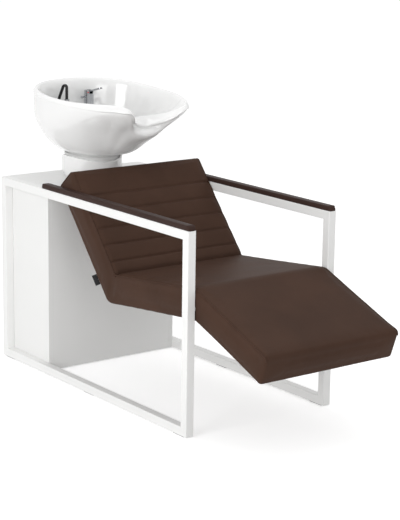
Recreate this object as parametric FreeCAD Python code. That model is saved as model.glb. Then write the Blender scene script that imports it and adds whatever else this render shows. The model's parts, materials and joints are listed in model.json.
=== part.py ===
"""Hair washing bed: two white tube frames, a folded leather chaise, a cabinet and a tilting ceramic basin.

Millimetres. X runs across the seat, -Y points to the sitter's feet, +Y to the basin, +Z up.
The origin is on the floor, under the middle of the object's box.
"""

import FreeCAD, Part

import math
import os

os.makedirs("parts", exist_ok=True)

V = FreeCAD.Vector
AXIS_X = V(1, 0, 0)
AXIS_Y = V(0, 1, 0)
AXIS_Z = V(0, 0, 1)

# Driving dimensions of the whole object
frame_width = 604.0
frame_depth = 1137.0
rail_top = 671.0
tube_side = 30.0
tube_wall = 2.0
cabinet_depth = 272.0
leg_reach = 353.0
basin_axis_from_rear = 137.0
basin_rear_reach = 156.0
basin_foot_rise = 54.0

# Clearances and cuts
overrun = 1.0
screw_clearance = 0.3
soft_clearance = 0.3
running_clearance = 0.05
seat_gap = 0.3
chaise_side_gap = 0.8

# Floor glides
glide_height = 3.0
glide_width = 22.0
glide_length = 60.0
glide_inset = 45.0
glide_hole_r = 2.2
glide_peg_height = 8.0

# Arm pads
pad_height = 20.0
pad_width = 29.0
pad_board = 6.0
pad_edge = 4.5
pad_end_round = 7.0
pad_board_inset = 2.0
pad_screw_grip = 4.5
pad_screw_ends = 70.0
pad_end_gap = 3.0

# Cabinet boards, their screws and angles
board = 18.0
floor_gap = 4.0
shelf_height = 40.0
door_gap = 3.0
screw_r = 3.0
screw_head_r = 5.5
screw_head_height = 2.0
screw_bite = 12.0
cabinet_screw_inset = 48.0
bracket_leg = 28.0
bracket_thick = 2.5
bracket_width = 30.0

# Door fittings
hinge_height = 70.0
hinge_barrel_r = 4.5
hinge_pin_r = 2.0
hinge_leaf = 2.0
hinge_leaf_width = 22.0
hinge_frame_leaf_width = 10.5
hinge_slack = 0.4
knob_r = 14.0
knob_length = 18.0
knob_stem_r = 7.0
knob_dish = 1.5
knob_inset = 40.0
catch_width = 46.0
catch_height = 14.0
catch_depth = 15.0
catch_plate = 1.6

# Chaise
knee_behind_front = 5.0
knee_drop = 183.5
leg_slope_deg = 21.4
seat_fall_deg = 6.0
seat_length = 447.0
back_rise_deg = 50.0
back_length = 412.0
leg_thickness = 101.0
seat_thickness = 103.0
back_foot_thickness = 110.0
back_top_thickness = 112.0
nose_radius = 16.0
toe_radius = 12.0
toe_drop = 231.0
toe_setback = 31.0
nose_lean = 1.5
back_top_front_radius = 16.0
back_top_rear_radius = 22.0
heel_radius = 55.0
heel_seam_margin = 8.0
first_seam_drop = 109.0
seam_pitch = 64.0
seam_count = 5
seam_depth = 4.0
cushion_edge = 9.0
cushion_flat = 30.0
chaise_board = 15.0
board_lift = 32.0
board_side_inset = 30.0
board_end_inset = 34.0
cross_tube_r = 12.5
cross_tube_wall = 2.0
bar_thick = 6.0
bar_width = 30.0
bar_side_inset = 86.2
tag_width = 36.0
tag_side_reach = 13.8
tag_rear_reach = 9.1
tag_thick = 1.2
tag_drop = 99.5

# Basin: outline, heights and walls
basin_half_width = 242.0
basin_front_reach = 412.0
basin_side_line = 120.0
egg_front = 290.0
rim_side_rise = 252.0
rim_rise = 15.2
rim_curve_rise = 16.3
rim_rise_run = 300.0
rim_rise_start = 130.0
lip_drop = 77.0
rim_roll_drop = 12.0
rim_roll_inset = 23.0
wing_roll_inset = 14.0
rim_crest_lift = 1.5
basin_foot_r = 97.0
basin_waist_r = 101.0
basin_body_rise = 30.0
basin_floor_rise = 61.0
basin_floor_r = 34.0
basin_wall = 9.5
basin_floor_thick = 14.0
foot_wall = 11.0
drain_hole_r = 21.0
deck_drop = 69.0
deck_rear = 129.0
deck_front = 60.0
deck_nose_drop = 3.0
deck_thick = 14.0
deck_pocket_depth = 36.0
deck_nut_room = 3.0
apron_y = 50.0
apron_floor_y = 37.0
tap_spread = 96.0
tap_y = 94.0

# Pedestal: collar, yoke, carrier and pins
collar_foot_r = 101.0
collar_belly_r = 110.0
collar_wall = 6.0
collar_belly_height = 29.0
collar_gap = 6.0
collar_dip = 18.0
yoke_ring_hole_r = 64.0
yoke_thick = 4.0
yoke_arm_x = 66.0
yoke_arm_half = 25.0
yoke_arm_top = 14.0
yoke_bolt_circle_r = 80.0
bolt_r = 4.0
bolt_head_r = 6.5
bolt_head_height = 4.0
bolt_nut_height = 5.0
carrier_half_y = 40.0
tilt_axis_drop = 20.0
carrier_hole_r = 24.0
lug_gap = 1.0
lug_half = 14.0
pin_r = 6.0
pin_head_r = 9.0
pin_head_height = 3.0
pin_inner_reach = 3.0

# Waste and drain
waste_flange_r = 32.0
waste_flange_height = 3.0
waste_r = 20.0
waste_bore_r = 17.0
waste_length = 86.0
waste_nut_r = 32.0
waste_nut_height = 8.0
waste_washer_height = 4.0
strainer_r = 24.0
strainer_rise = 4.0
strainer_skirt_r = 16.0
strainer_skirt_wall = 1.5
strainer_skirt_depth = 12.0
strainer_hole_r = 2.0
strainer_ring_r = 9.0
strainer_hole_count = 8
cup_r = 32.0
cup_wall = 3.0
cup_flange_r = 38.0
cup_height = 45.0
cup_neck_r = 20.0
cup_neck_drop = 60.0
drain_hose_wall = 3.0
drain_hose_grip = 29.0
spigot_flange_r = 30.0
spigot_flange_height = 4.0
spigot_rise = 40.0
spigot_drop = 22.0
spigot_wall = 3.0
outlet_r = 19.0

# Water supply
hose_r = 5.0
hose_bore_r = 3.0
hose_hole_r = 7.0
hose_x = 46.0
hose_setback = 28.0
hose_bend_r = 20.0
hose_split_gap = 0.9
inlet_r = 10.5
inlet_shank_r = 12.0
inlet_collar_r = 14.0
inlet_collar_height = 8.0
inlet_drop = 22.0
inlet_barb = 16.0

# Mixer tap
mixer_flange_r = 22.0
mixer_flange_height = 4.0
mixer_r = 18.0
mixer_height = 36.0
mixer_shank_r = 12.0
mixer_shank_drop = 34.0
mixer_cap_r = 17.0
mixer_cap_height = 17.7
mixer_stub_r = 3.5
mixer_stub_reach = 33.0
mixer_stub_drop = 7.0
lever_slot = 14.6
lever_slot_depth = 12.5
lever_hub_r = 5.0
lever_hub_drop = 6.5
lever_width = 14.0
lever_thick = 5.0
lever_reach = 85.0
lever_rise_deg = 15.0
lever_pin_r = 1.5
deck_nut_height = 9.0
deck_nut_margin = 6.0

# Hand shower and its guide
handset_r = 5.5
guide_flange_r = 14.0
guide_flange_height = 3.0
guide_r = 9.0
guide_bore_r = 6.0
guide_height = 30.0
guide_drop = 30.0
handset_tail_drop = 96.0
handset_bend_rise = 114.0
handset_bend_r = 9.5
handset_lean_x = 54.0
handset_lean_y = 8.0
handset_end_drop = 3.0
spray_head_r = 8.0
spray_head_length = 18.0

# Places along the object: the frame's front and rear, the cabinet's front, the basin's axis
rear_overhang = basin_rear_reach - basin_axis_from_rear
length = leg_reach + frame_depth + rear_overhang
y_front = leg_reach - length / 2
y_rear = y_front + frame_depth
y_cabinet = y_rear - cabinet_depth
y_basin = y_rear - basin_axis_from_rear
x_outer = frame_width / 2
x_inner = x_outer - tube_side
x_post = x_outer - tube_side / 2
half_chaise = x_inner - chaise_side_gap
bar_place = half_chaise - bar_side_inset

# Heights of the chaise, below the arm rails' top
knee_height = rail_top - knee_drop
toe_height = knee_height - toe_drop
tag_height = knee_height - tag_drop

# Heights of the basin, from the cabinet's top
basin_foot_height = rail_top + basin_foot_rise
basin_body_start = basin_foot_height + basin_body_rise
basin_floor = basin_foot_height + basin_floor_rise
rim_side_height = basin_foot_height + rim_side_rise
lip_height = rim_side_height - lip_drop
deck_height = rim_side_height - deck_drop
carrier_top = basin_floor - basin_floor_thick
carrier_under = carrier_top - yoke_thick
tilt_axis_height = carrier_under - tilt_axis_drop


def box(x0, y0, z0, x1, y1, z1):
    return Part.makeBox(x1 - x0, y1 - y0, z1 - z0, V(x0, y0, z0))


def rod_x(y, z, x0, x1, r):
    return Part.makeCylinder(r, x1 - x0, V(x0, y, z), AXIS_X)


def rod_y(x, z, y0, y1, r):
    return Part.makeCylinder(r, y1 - y0, V(x, y0, z), AXIS_Y)


def rod_z(x, y, z0, z1, r):
    return Part.makeCylinder(r, z1 - z0, V(x, y, z0), AXIS_Z)


def ring_z(x, y, z0, z1, r, bore):
    return rod_z(x, y, z0, z1, r).cut(rod_z(x, y, z0 - overrun, z1 + overrun, bore))


def prism_x(points, x0, x1):
    """A flat outline of (y, z) points, pushed along X."""
    corners = [V(x0, y, z) for y, z in points]
    face = Part.Face(Part.makePolygon(corners + [corners[0]]))
    return face.extrude(V(x1 - x0, 0, 0))


def turned(points, x, y):
    """A solid turned about the vertical through (x, y) from an outline of (radius, z) points."""
    corners = [V(x + r, y, z) for r, z in points]
    face = Part.Face(Part.makePolygon(corners + [corners[0]]))
    return face.revolve(V(x, y, 0), AXIS_Z, 360)


def joined(shapes):
    whole = shapes[0]
    for shape in shapes[1:]:
        whole = whole.fuse(shape)
    return whole.removeSplitter()


def without(shape, tools):
    for tool in tools:
        shape = shape.cut(tool)
    return shape


def group(shapes):
    return Part.makeCompound(shapes)


def mirrored(shape):
    return shape.mirror(V(0, 0, 0), AXIS_X)


def both(shapes):
    return group(shapes + [mirrored(s) for s in shapes])


def save(node, shape):
    shape.exportStep("parts/" + node + ".step")
    print(node, len(shape.Solids), "solids", round(shape.Volume), "mm3", shape.isValid())


# Side frames: four mitred square tubes each

z_frame = glide_height
z_base_centre = z_frame + tube_side / 2
screw_hole_r = screw_r + screw_clearance
pad_length = frame_depth - cabinet_depth - pad_end_gap
pad_screw_y = (
    y_front + pad_screw_ends,
    y_front + pad_length / 2,
    y_front + pad_length - pad_screw_ends,
)
post_screw_shares = (0.25, 0.5, 0.75)
post_screw_z = [rail_top * share for share in post_screw_shares]
base_screw_y = (y_cabinet + cabinet_screw_inset, y_rear - cabinet_screw_inset)
glide_y = (y_front + glide_inset, (y_front + y_rear) / 2, y_rear - glide_inset)


def loop_corner(index, inset):
    """A corner of the frame's rectangle, moved in: 0 front foot, 1 rear foot, 2 rear top, 3 front top."""
    y = y_front + inset if index in (0, 3) else y_rear - inset
    z = z_frame + inset if index in (0, 1) else rail_top - inset
    return (y, z)


def frame_tube(first, last):
    """The left tube between two corners of the frame, mitred at both ends and hollow."""

    def quad(near, far):
        return [
            loop_corner(first, near),
            loop_corner(last, near),
            loop_corner(last, far),
            loop_corner(first, far),
        ]

    outside = prism_x(quad(0, tube_side), -x_outer, -x_inner)
    inside = quad(tube_wall, tube_side - tube_wall)
    return outside.cut(prism_x(inside, -x_outer + tube_wall, -x_inner - tube_wall))


def inner_wall_hole(y, z):
    """A screw's hole through the inner wall of the left frame."""
    return rod_x(y, z, -x_inner - tube_wall - overrun, -x_inner + overrun, screw_hole_r)


def make_frames():
    rail = frame_tube(3, 2)
    for y in pad_screw_y:
        bottom = rail_top - tube_side
        rail = rail.cut(rod_z(-x_post, y, bottom - overrun, rail_top + overrun, screw_hole_r))
    rear = without(frame_tube(1, 2), [inner_wall_hole(y_rear - tube_side / 2, z) for z in post_screw_z])
    base = without(frame_tube(0, 1), [inner_wall_hole(y, z_base_centre) for y in base_screw_y])
    for y in glide_y:
        top = z_frame + tube_wall + overrun
        base = base.cut(rod_z(-x_post, y, z_frame - overrun, top, glide_hole_r))
    tubes = (("front_post", frame_tube(0, 3)), ("arm_rail", rail), ("rear_post", rear), ("base_rail", base))
    for name, tube in tubes:
        save("left_" + name, tube)
        save("right_" + name, mirrored(tube))


# Floor glides: a flat strip with a peg pushed into the base rail's hole


def make_glides():
    glides = []
    x0 = -x_post - glide_width / 2
    for y in glide_y:
        strip = box(x0, y - glide_length / 2, 0, x0 + glide_width, y + glide_length / 2, z_frame)
        peg = rod_z(-x_post, y, 0, z_frame + glide_peg_height, glide_hole_r - screw_clearance)
        glides.append(joined([strip, peg]))
    save("floor_glides", both(glides))


# Arm pads: leather over a thin board, screwed up through the rail

side_share = 0.6
crown_shoulder_share = 0.7
corner_side_share = 0.3
corner_rise_share = 0.1
end_rise_shares = (0.72, 0.9, 1.0)


def pad_section(y, rise, half_width):
    """One cross-section of the left pad: flat below, sides drawn in at the foot, a crowned top."""
    x = -x_post
    foot = half_width - pad_edge / 3
    shoulder = rise - pad_edge
    z_side = rail_top + shoulder * side_share
    z_crown = rail_top + shoulder + pad_edge * crown_shoulder_share
    z_corner = rail_top + shoulder + pad_edge * corner_rise_share
    top = half_width - pad_edge
    corner = half_width - pad_edge * corner_side_share
    edges = [
        Part.LineSegment(V(x - foot, y, rail_top), V(x + foot, y, rail_top)),
        Part.LineSegment(V(x + foot, y, rail_top), V(x + half_width, y, z_side)),
        Part.Arc(V(x + half_width, y, z_side), V(x + corner, y, z_corner), V(x + top, y, z_crown)),
        Part.Arc(V(x + top, y, z_crown), V(x, y, rail_top + rise), V(x - top, y, z_crown)),
        Part.Arc(V(x - top, y, z_crown), V(x - corner, y, z_corner), V(x - half_width, y, z_side)),
        Part.LineSegment(V(x - half_width, y, z_side), V(x - foot, y, rail_top)),
    ]
    return Part.Wire([edge.toShape() for edge in edges])


def make_arm_pads():
    y1 = y_front + pad_length
    half = pad_width / 2
    steps = (0, pad_end_round / 3, pad_end_round)
    widths = (half - pad_edge / 3, half - pad_edge / 8, half)
    front = [pad_section(y_front + d, pad_height * s, w) for d, s, w in zip(steps, end_rise_shares, widths)]
    rear = [pad_section(y1 - d, pad_height * s, w) for d, s, w in zip(steps, end_rise_shares, widths)]
    pad = Part.makeLoft(front + rear[::-1], True, True)
    reach = half - pad_edge / 3 - pad_board_inset
    y0 = y_front + pad_end_round
    y1 = y1 - pad_end_round
    insert = box(-x_post - reach, y0, rail_top, -x_post + reach, y1, rail_top + pad_board)
    c = soft_clearance
    z1 = rail_top + pad_board + c
    pocket = box(-x_post - reach - c, y0 - c, rail_top - overrun, -x_post + reach + c, y1 + c, z1)
    pad = pad.cut(pocket)
    screws = []
    for y in pad_screw_y:
        tip = rail_top + pad_screw_grip
        under = rail_top - tube_side
        insert = insert.cut(rod_z(-x_post, y, rail_top - overrun, tip, screw_r))
        shank = rod_z(-x_post, y, under, tip, screw_r)
        screws.append(joined([shank, rod_z(-x_post, y, under - screw_head_height, under, screw_head_r)]))
    save("left_arm_pad", pad)
    save("right_arm_pad", mirrored(pad))
    save("arm_pad_boards", both([insert]))
    save("arm_pad_screws", both(screws))


# Cabinet: two sides, front, top and shelf, screwed to the frames and to four steel angles

z_top_under = rail_top - board
z_shelf_top = shelf_height + board
x_side_in = x_inner - board
y_front_board = y_cabinet + board
x_door = x_side_in - door_gap
y_door = y_rear - board
z_door = shelf_height - board
z_door_top = z_top_under - door_gap
bracket_y = (y_front_board + bracket_width / 3, y_door - bracket_width * 2)
bracket_screw_share = 0.6
bracket_screw_reach = bracket_leg * bracket_screw_share


def side_screw(y, z, x_head):
    """A screw that runs outwards in the left half, with its head's flat side at x_head."""
    shank = rod_x(y, z, x_head - screw_bite, x_head, screw_r)
    return joined([shank, rod_x(y, z, x_head, x_head + screw_head_height, screw_head_r)])


def frame_screw(y, z):
    """A screw from inside the cabinet, through the left side board into the frame tube's wall."""
    shank = rod_x(y, z, -x_inner - tube_wall, -x_side_in, screw_r)
    return joined([shank, rod_x(y, z, -x_side_in, -x_side_in + screw_head_height, screw_head_r)])


def top_screw(x, y):
    """A screw up through an angle into the top board."""
    z = z_top_under - bracket_thick
    shank = rod_z(x, y, z, z + screw_bite, screw_r)
    return joined([shank, rod_z(x, y, z - screw_head_height, z, screw_head_r)])


def yoke_bolt_places():
    reach = yoke_bolt_circle_r * math.sqrt(2) / 2
    return [(x, y_basin + y) for x in (-reach, reach) for y in (-reach, reach)]


def make_cabinet():
    screws = [frame_screw(y_rear - tube_side / 2, z) for z in post_screw_z]
    screws += [frame_screw(y, z_base_centre) for y in base_screw_y]
    brackets = []
    top_screws = []
    x = -x_side_in
    for y in bracket_y:
        middle = y + bracket_width / 2
        leg = box(x, y, z_top_under - bracket_leg, x + bracket_thick, y + bracket_width, z_top_under)
        arm = box(x, y, z_top_under - bracket_thick, x + bracket_leg, y + bracket_width, z_top_under)
        pair = [
            side_screw(middle, z_top_under - bracket_screw_reach, x + bracket_thick),
            top_screw(x + bracket_screw_reach, middle),
        ]
        brackets.append(without(joined([leg, arm]), pair))
        screws.append(pair[0])
        top_screws.append(pair[1])
    side = box(-x_inner, y_cabinet, floor_gap, x, y_rear, z_top_under)
    side = without(side, screws)
    top = box(-x_inner, y_cabinet, z_top_under, x_inner, y_rear, rail_top)
    top = without(top, top_screws + [mirrored(s) for s in top_screws])
    holes = [(0, y_basin, cup_neck_r)]
    holes += [(side_x, y_basin - hose_setback, hose_hole_r) for side_x in (-hose_x, hose_x)]
    holes += [(bolt_x, bolt_y, bolt_r) for bolt_x, bolt_y in yoke_bolt_places()]
    for hole_x, hole_y, r in holes:
        top = top.cut(rod_z(hole_x, hole_y, z_top_under - overrun, rail_top + overrun, r))
    shelf = box(x, y_front_board, shelf_height, x_side_in, y_door - door_gap, z_shelf_top)
    shelf_holes = [(0, y_basin, waste_r)]
    shelf_holes += [(side_x, y_basin - hose_setback, inlet_shank_r) for side_x in (-hose_x, hose_x)]
    for hole_x, hole_y, r in shelf_holes:
        shelf = shelf.cut(rod_z(hole_x, hole_y, shelf_height - overrun, z_shelf_top + overrun, r))
    save("cabinet_left_side", side)
    save("cabinet_right_side", mirrored(side))
    save("cabinet_front", box(x, y_cabinet, floor_gap, x_side_in, y_front_board, z_top_under))
    save("cabinet_top", top)
    save("cabinet_shelf", shelf)
    save("cabinet_screws", both(screws + top_screws))
    save("cabinet_angles", both(brackets))


# Service door at the rear: two butt hinges, a knob and a magnetic catch

x_hinge = -x_side_in + door_gap / 2
y_hinge = y_rear + hinge_barrel_r
hinge_shares = (0.2, 0.8)


def knuckle(z0, z1):
    return ring_z(x_hinge, y_hinge, z0, z1, hinge_barrel_r, hinge_pin_r + running_clearance)


def hinge(z):
    """One butt hinge with its foot at z: the frame's leaf, the door's leaf and the pin."""
    third = hinge_height / 3
    y_leaf = y_rear + hinge_leaf
    x_frame = x_hinge - hinge_barrel_r - hinge_slack
    x_leaf = x_hinge + hinge_barrel_r + hinge_slack
    frame_leaf = [box(x_frame - hinge_frame_leaf_width, y_rear, z, x_frame, y_leaf, z + hinge_height)]
    for start in (z, z + 2 * third + hinge_slack):
        stop = start + third - hinge_slack
        frame_leaf.append(box(x_frame, y_rear, start, x_hinge - hinge_pin_r, y_leaf, stop))
        frame_leaf.append(knuckle(start, stop))
    door_leaf = [
        box(x_leaf, y_rear, z, x_leaf + hinge_leaf_width, y_leaf, z + hinge_height),
        box(x_hinge + hinge_pin_r, y_rear, z + third, x_leaf, y_leaf, z + 2 * third),
        knuckle(z + third, z + 2 * third),
    ]
    return joined(frame_leaf), joined(door_leaf), rod_z(x_hinge, y_hinge, z, z + hinge_height, hinge_pin_r)


def make_door():
    places = [z_door + (z_door_top - z_door) * share - hinge_height / 2 for share in hinge_shares]
    frame_leaves, door_leaves, pins = zip(*[hinge(z) for z in places])
    save("rear_door", box(-x_door, y_door, z_door, x_door, y_rear, z_door_top))
    save("hinge_frame_leaves", group(list(frame_leaves)))
    save("hinge_door_leaves", group(list(door_leaves)))
    save("hinge_pins", group(list(pins)))
    knob_x = x_door - knob_inset
    knob_z = (z_door + z_door_top) / 2
    stem = rod_y(knob_x, knob_z, y_rear, y_rear + knob_length / 2, knob_stem_r)
    head = rod_y(knob_x, knob_z, y_rear + knob_length / 2, y_rear + knob_length, knob_r)
    save("door_knob", joined([stem, head.makeChamfer(knob_dish, head.Edges)]))
    x0 = x_door - catch_width - board
    y1 = y_door - catch_plate - seat_gap
    z0 = z_top_under - catch_height
    save("magnetic_catch", box(x0, y1 - catch_depth, z0, x0 + catch_width, y1, z_top_under))
    save("catch_plate", box(x0, y_door - catch_plate, z0, x0 + catch_width, y_door, z_door_top))


# Chaise: three upholstered sections on boards, on two side bars and two cross tubes

edge_depths = (0, cushion_edge / 3, cushion_edge, cushion_flat)
edge_draws = (cushion_edge, cushion_edge / 2, cushion_edge / 8, cushion_edge / 16)


def direction(degrees):
    angle = math.radians(degrees)
    return (math.cos(angle), math.sin(angle))


def along(point, way, distance):
    return (point[0] + way[0] * distance, point[1] + way[1] * distance)


def middle_of(a, b):
    return ((a[0] + b[0]) / 2, (a[1] + b[1]) / 2)


def unit(a, b):
    size = math.hypot(b[0] - a[0], b[1] - a[1])
    return ((b[0] - a[0]) / size, (b[1] - a[1]) / size)


def crossing(p, d, q, e):
    """Where the line through p along d meets the line through q along e."""
    det = d[0] * e[1] - d[1] * e[0]
    t = ((q[0] - p[0]) * e[1] - (q[1] - p[1]) * e[0]) / det
    return along(p, d, t)


leg_way = direction(leg_slope_deg)
seat_way = direction(-seat_fall_deg)
back_way = direction(back_rise_deg)
leg_down = (leg_way[1], -leg_way[0])
seat_down = (seat_way[1], -seat_way[0])
back_down = (back_way[1], -back_way[0])

knee_top = (y_front + knee_behind_front, knee_height)
crook = along(knee_top, seat_way, seat_length)
back_top = along(crook, back_way, back_length)
back_top_rear = along(back_top, back_down, back_top_thickness)
back_foot_rear = along(crook, back_down, back_foot_thickness)
rear_way = unit(back_foot_rear, back_top_rear)
seat_under = along(knee_top, seat_down, seat_thickness)
leg_under = along(knee_top, leg_down, leg_thickness)
knee_bottom = crossing(seat_under, seat_way, leg_under, leg_way)
heel = crossing(seat_under, seat_way, back_foot_rear, rear_way)
heel_turn = math.radians(back_rise_deg + seat_fall_deg)
heel_seam = along(heel, seat_way, -heel_radius * math.tan(heel_turn / 2) - heel_seam_margin)

# The leg end: the nose arc touches the foremost line and the leg's top
nose_line = along(knee_top, leg_down, nose_radius)
nose_centre = crossing(nose_line, leg_way, (y_front - leg_reach + nose_radius, 0), (0, 1))
nose_front = (nose_centre[0] - nose_radius, nose_centre[1] - nose_lean)
toe = (y_front - leg_reach + toe_setback, toe_height)
nose_corner = crossing(knee_top, leg_way, toe, unit(toe, nose_front))


def fillet_points(before, corner, after, radius):
    """Start, middle and end of the arc that rounds a corner between two lines."""
    a = unit(corner, before)
    b = unit(corner, after)
    half = math.acos(a[0] * b[0] + a[1] * b[1]) / 2
    reach = radius / math.tan(half)
    inwards = unit((0, 0), (a[0] + b[0], a[1] + b[1]))
    middle = along(corner, inwards, radius / math.sin(half) - radius)
    return along(corner, a, reach), middle, along(corner, b, reach)


def moved_in(corners, insets):
    """A polygon's corners after each side moves in by its own inset; sides run counterclockwise."""
    lines = []
    for i in range(len(corners)):
        way = unit(corners[i], corners[(i + 1) % len(corners)])
        lines.append((along(corners[i], (-way[1], way[0]), insets[i]), way))
    return [crossing(*lines[i - 1], *lines[i]) for i in range(len(corners))]


def seamed_edges(x, a, b, foot, seams):
    """Arcs that bulge between seams; seams are distances from the side's foot, the furthest first."""
    way = unit(b, a)
    inward = (way[1], -way[0])
    stops = [a] + [along(along(foot, way, s), inward, seam_depth) for s in seams] + [b]
    edges = []
    for p, q in zip(stops[:-1], stops[1:]):
        crown = crossing(middle_of(p, q), inward, a, way)
        edges.append(Part.Arc(V(x, *p), V(x, *crown), V(x, *q)).toShape())
    return edges


def padded_outline(x, corners, radii, seam_side, seams):
    """The outline in the plane at x: lines, rounded corners, and arcs between seams on one side."""
    count = len(corners)
    turns = []
    for i in range(count):
        if radii[i] > 0:
            turns.append(fillet_points(corners[i - 1], corners[i], corners[(i + 1) % count], radii[i]))
        else:
            turns.append((corners[i], corners[i], corners[i]))
    edges = []
    for i in range(count):
        if radii[i] > 0:
            edges.append(Part.Arc(*[V(x, y, z) for y, z in turns[i]]).toShape())
        a = turns[i][2]
        b = turns[(i + 1) % count][0]
        if i == seam_side:
            edges += seamed_edges(x, a, b, corners[(i + 1) % count], seams)
        else:
            edges.append(Part.LineSegment(V(x, *a), V(x, *b)).toShape())
    return Part.Wire(edges)


def pillow(corners, radii, joints, seam_side=None, seams=()):
    """A padded section across the chaise. Towards its ends it draws in on every side but the joints,
    where it meets its neighbour flat."""
    steps = [(-half_chaise + depth, draw) for depth, draw in zip(edge_depths, edge_draws)]
    steps = steps + [(0, 0)] + [(-x, draw) for x, draw in reversed(steps)]
    sections = []
    for x, draw in steps:
        insets = [0 if i in joints else draw for i in range(len(corners))]
        smaller = [max(r - draw, r / 3) for r in radii]
        sections.append(padded_outline(x, moved_in(corners, insets), smaller, seam_side, seams))
    return Part.makeLoft(sections, True, True)


def slab(a, b, way, down, near, far, margin):
    """A board across the chaise between two places on a section's top, from depth near to depth far."""
    half = half_chaise - board_side_inset + margin
    start = along(a, way, board_end_inset - margin)
    stop = along(b, way, margin - board_end_inset)
    corners = [along(start, down, near - margin), along(stop, down, near - margin)]
    corners += [along(stop, down, far + margin), along(start, down, far + margin)]
    return prism_x(corners, -half, half)


def bent_line(depth):
    """The chaise's own line at a depth under its top: leg end, knee, crook and back end."""
    leg_line = along(knee_top, leg_down, depth)
    seat_line = along(knee_top, seat_down, depth)
    back_line = along(crook, back_down, depth)
    leg_start = along(along(nose_corner, leg_way, board_end_inset), leg_down, depth)
    back_stop = along(along(back_top, back_way, -board_end_inset), back_down, depth)
    knee_point = crossing(leg_line, leg_way, seat_line, seat_way)
    crook_point = crossing(seat_line, seat_way, back_line, back_way)
    return [leg_start, knee_point, crook_point, back_stop]


def side_bar(margin):
    near = bent_line(board_lift + chaise_board - margin)
    far = bent_line(board_lift + chaise_board + bar_thick + margin)
    half = bar_width / 2 + margin
    return prism_x(near + far[::-1], -bar_place - half, -bar_place + half)


board_spans = (
    (nose_corner, knee_top, leg_way, leg_down),
    (knee_top, crook, seat_way, seat_down),
    (crook, back_top, back_way, back_down),
)
screw_span_shares = (0.3, 0.7)


def chaise_screws(margin):
    """Screws square to the boards, up through the side bars."""
    screws = []
    depth = board_lift + chaise_board + bar_thick
    for a, b, way, down in board_spans:
        span = math.hypot(b[0] - a[0], b[1] - a[1])
        for share in screw_span_shares:
            y, z = along(along(a, way, span * share), down, depth)
            place = V(-bar_place, y, z)
            up = V(0, -down[0], -down[1])
            shank = Part.makeCylinder(screw_r + margin, screw_bite, place, up)
            head = Part.makeCylinder(screw_head_r + margin, screw_head_height + margin, place, up * -1)
            screws.append(joined([shank, head]))
    return screws


front_tube_y = y_front + tube_side / 2
back_tube_z = rail_top - tube_side / 2
tube_depth = board_lift + chaise_board + bar_thick + cross_tube_r
seat_tube_line = along(knee_top, seat_down, tube_depth)
back_tube_line = along(crook, back_down, tube_depth)
front_tube_place = crossing(seat_tube_line, seat_way, (front_tube_y, 0), (0, 1))
back_tube_place = crossing(back_tube_line, back_way, (0, back_tube_z), (1, 0))


def make_chaise():
    c = soft_clearance
    screws = chaise_screws(0)
    boards = []
    pockets = []
    for a, b, way, down in board_spans:
        boards.append(slab(a, b, way, down, board_lift, board_lift + chaise_board, 0))
        pockets.append(slab(a, b, way, down, board_lift, board_lift + chaise_board, c))
    tubes = []
    tube_room = []
    for y, z in (front_tube_place, back_tube_place):
        outside = rod_x(y, z, -x_inner, x_inner, cross_tube_r)
        bore = rod_x(y, z, -x_inner - overrun, x_inner + overrun, cross_tube_r - cross_tube_wall)
        tubes.append(outside.cut(bore))
        tube_room.append(rod_x(y, z, -x_inner, x_inner, cross_tube_r + c))
    room = [side_bar(c)] + chaise_screws(c)
    room += [mirrored(shape) for shape in room] + tube_room
    save("chaise_side_bars", both([without(side_bar(0), screws)]))
    names = ("leg", "seat", "back")
    for name, shape in zip(names, boards):
        save(name + "_board", without(shape, screws + [mirrored(s) for s in screws]))
    save("chaise_screws", both(screws))
    save("front_cross_tube", tubes[0])
    save("back_cross_tube", tubes[1])
    leg = pillow([nose_corner, toe, knee_bottom, knee_top], [nose_radius, toe_radius, 0, 0], (2,))
    seat = pillow([knee_top, knee_bottom, heel_seam, crook], [0, 0, 0, 0], (0, 2))
    last_seam = back_length - first_seam_drop - seam_pitch * (seam_count - 1)
    seams = [last_seam + seam_pitch * i for i in reversed(range(seam_count))]
    back = pillow(
        [crook, heel_seam, heel, back_top_rear, back_top],
        [0, 0, heel_radius, back_top_rear_radius, back_top_front_radius],
        (0,),
        4,
        seams,
    )
    for name, cushion, pocket in zip(names, (leg, seat, back), pockets):
        save(name + "_cushion", without(cushion, [pocket] + room))


def make_tag():
    """A plain fabric tag, sewn into the back's rear edge on the left side and sticking out of it."""
    out = (-rear_way[1], rear_way[0])
    foot = along(crossing(back_foot_rear, rear_way, (0, tag_height), (1, 0)), out, -seat_gap)
    start = V(-half_chaise + cushion_edge, *foot)
    side = V(0, *rear_way) * tag_width
    reach = V(-tag_side_reach, 0, 0) - V(0, *out) * tag_rear_reach
    corners = [start, start + side, start + side + reach, start + reach]
    thick = side.cross(reach).normalize() * tag_thick
    save("rear_tag", Part.Face(Part.makePolygon(corners + [start])).extrude(thick))


# Basin: one net of points for the ceramic, one for the hollow inside it

quarter_steps = 12
outline_power_share = 2 / 2.6
net_swell_share = 1.012
front_x_shares = (0.979, 0.926, 0.847, 0.773, 0.69, 0.607, 0.537)
front_x_shares += (0.467, 0.405, 0.355, 0.298, 0.215, 0.112, 0)
front_y_shares = (0.43, 0.561, 0.667, 0.76, 0.837, 0.917, 0.978)
front_y_shares += (1, 0.978, 0.917, 0.837, 0.765, 0.726, 0.716)
lip_drop_shares = (0.117, 0.195, 0.325, 0.545, 0.766, 0.909, 0.974, 1)
wing_stations = (18, 19, 20, 21)
deck_last_station = 2
body_height_shares = (0.03, 0.1, 0.17, 0.24, 0.33, 0.42, 0.53, 0.63, 0.76, 1)
body_rear_shares = (0.06, 0.29, 0.45, 0.58, 0.71, 0.81, 0.925, 0.98, 1, 1)
body_front_shares = (0.15, 0.307, 0.39, 0.457, 0.53, 0.604, 0.69, 0.775, 0.89, 1)
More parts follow.
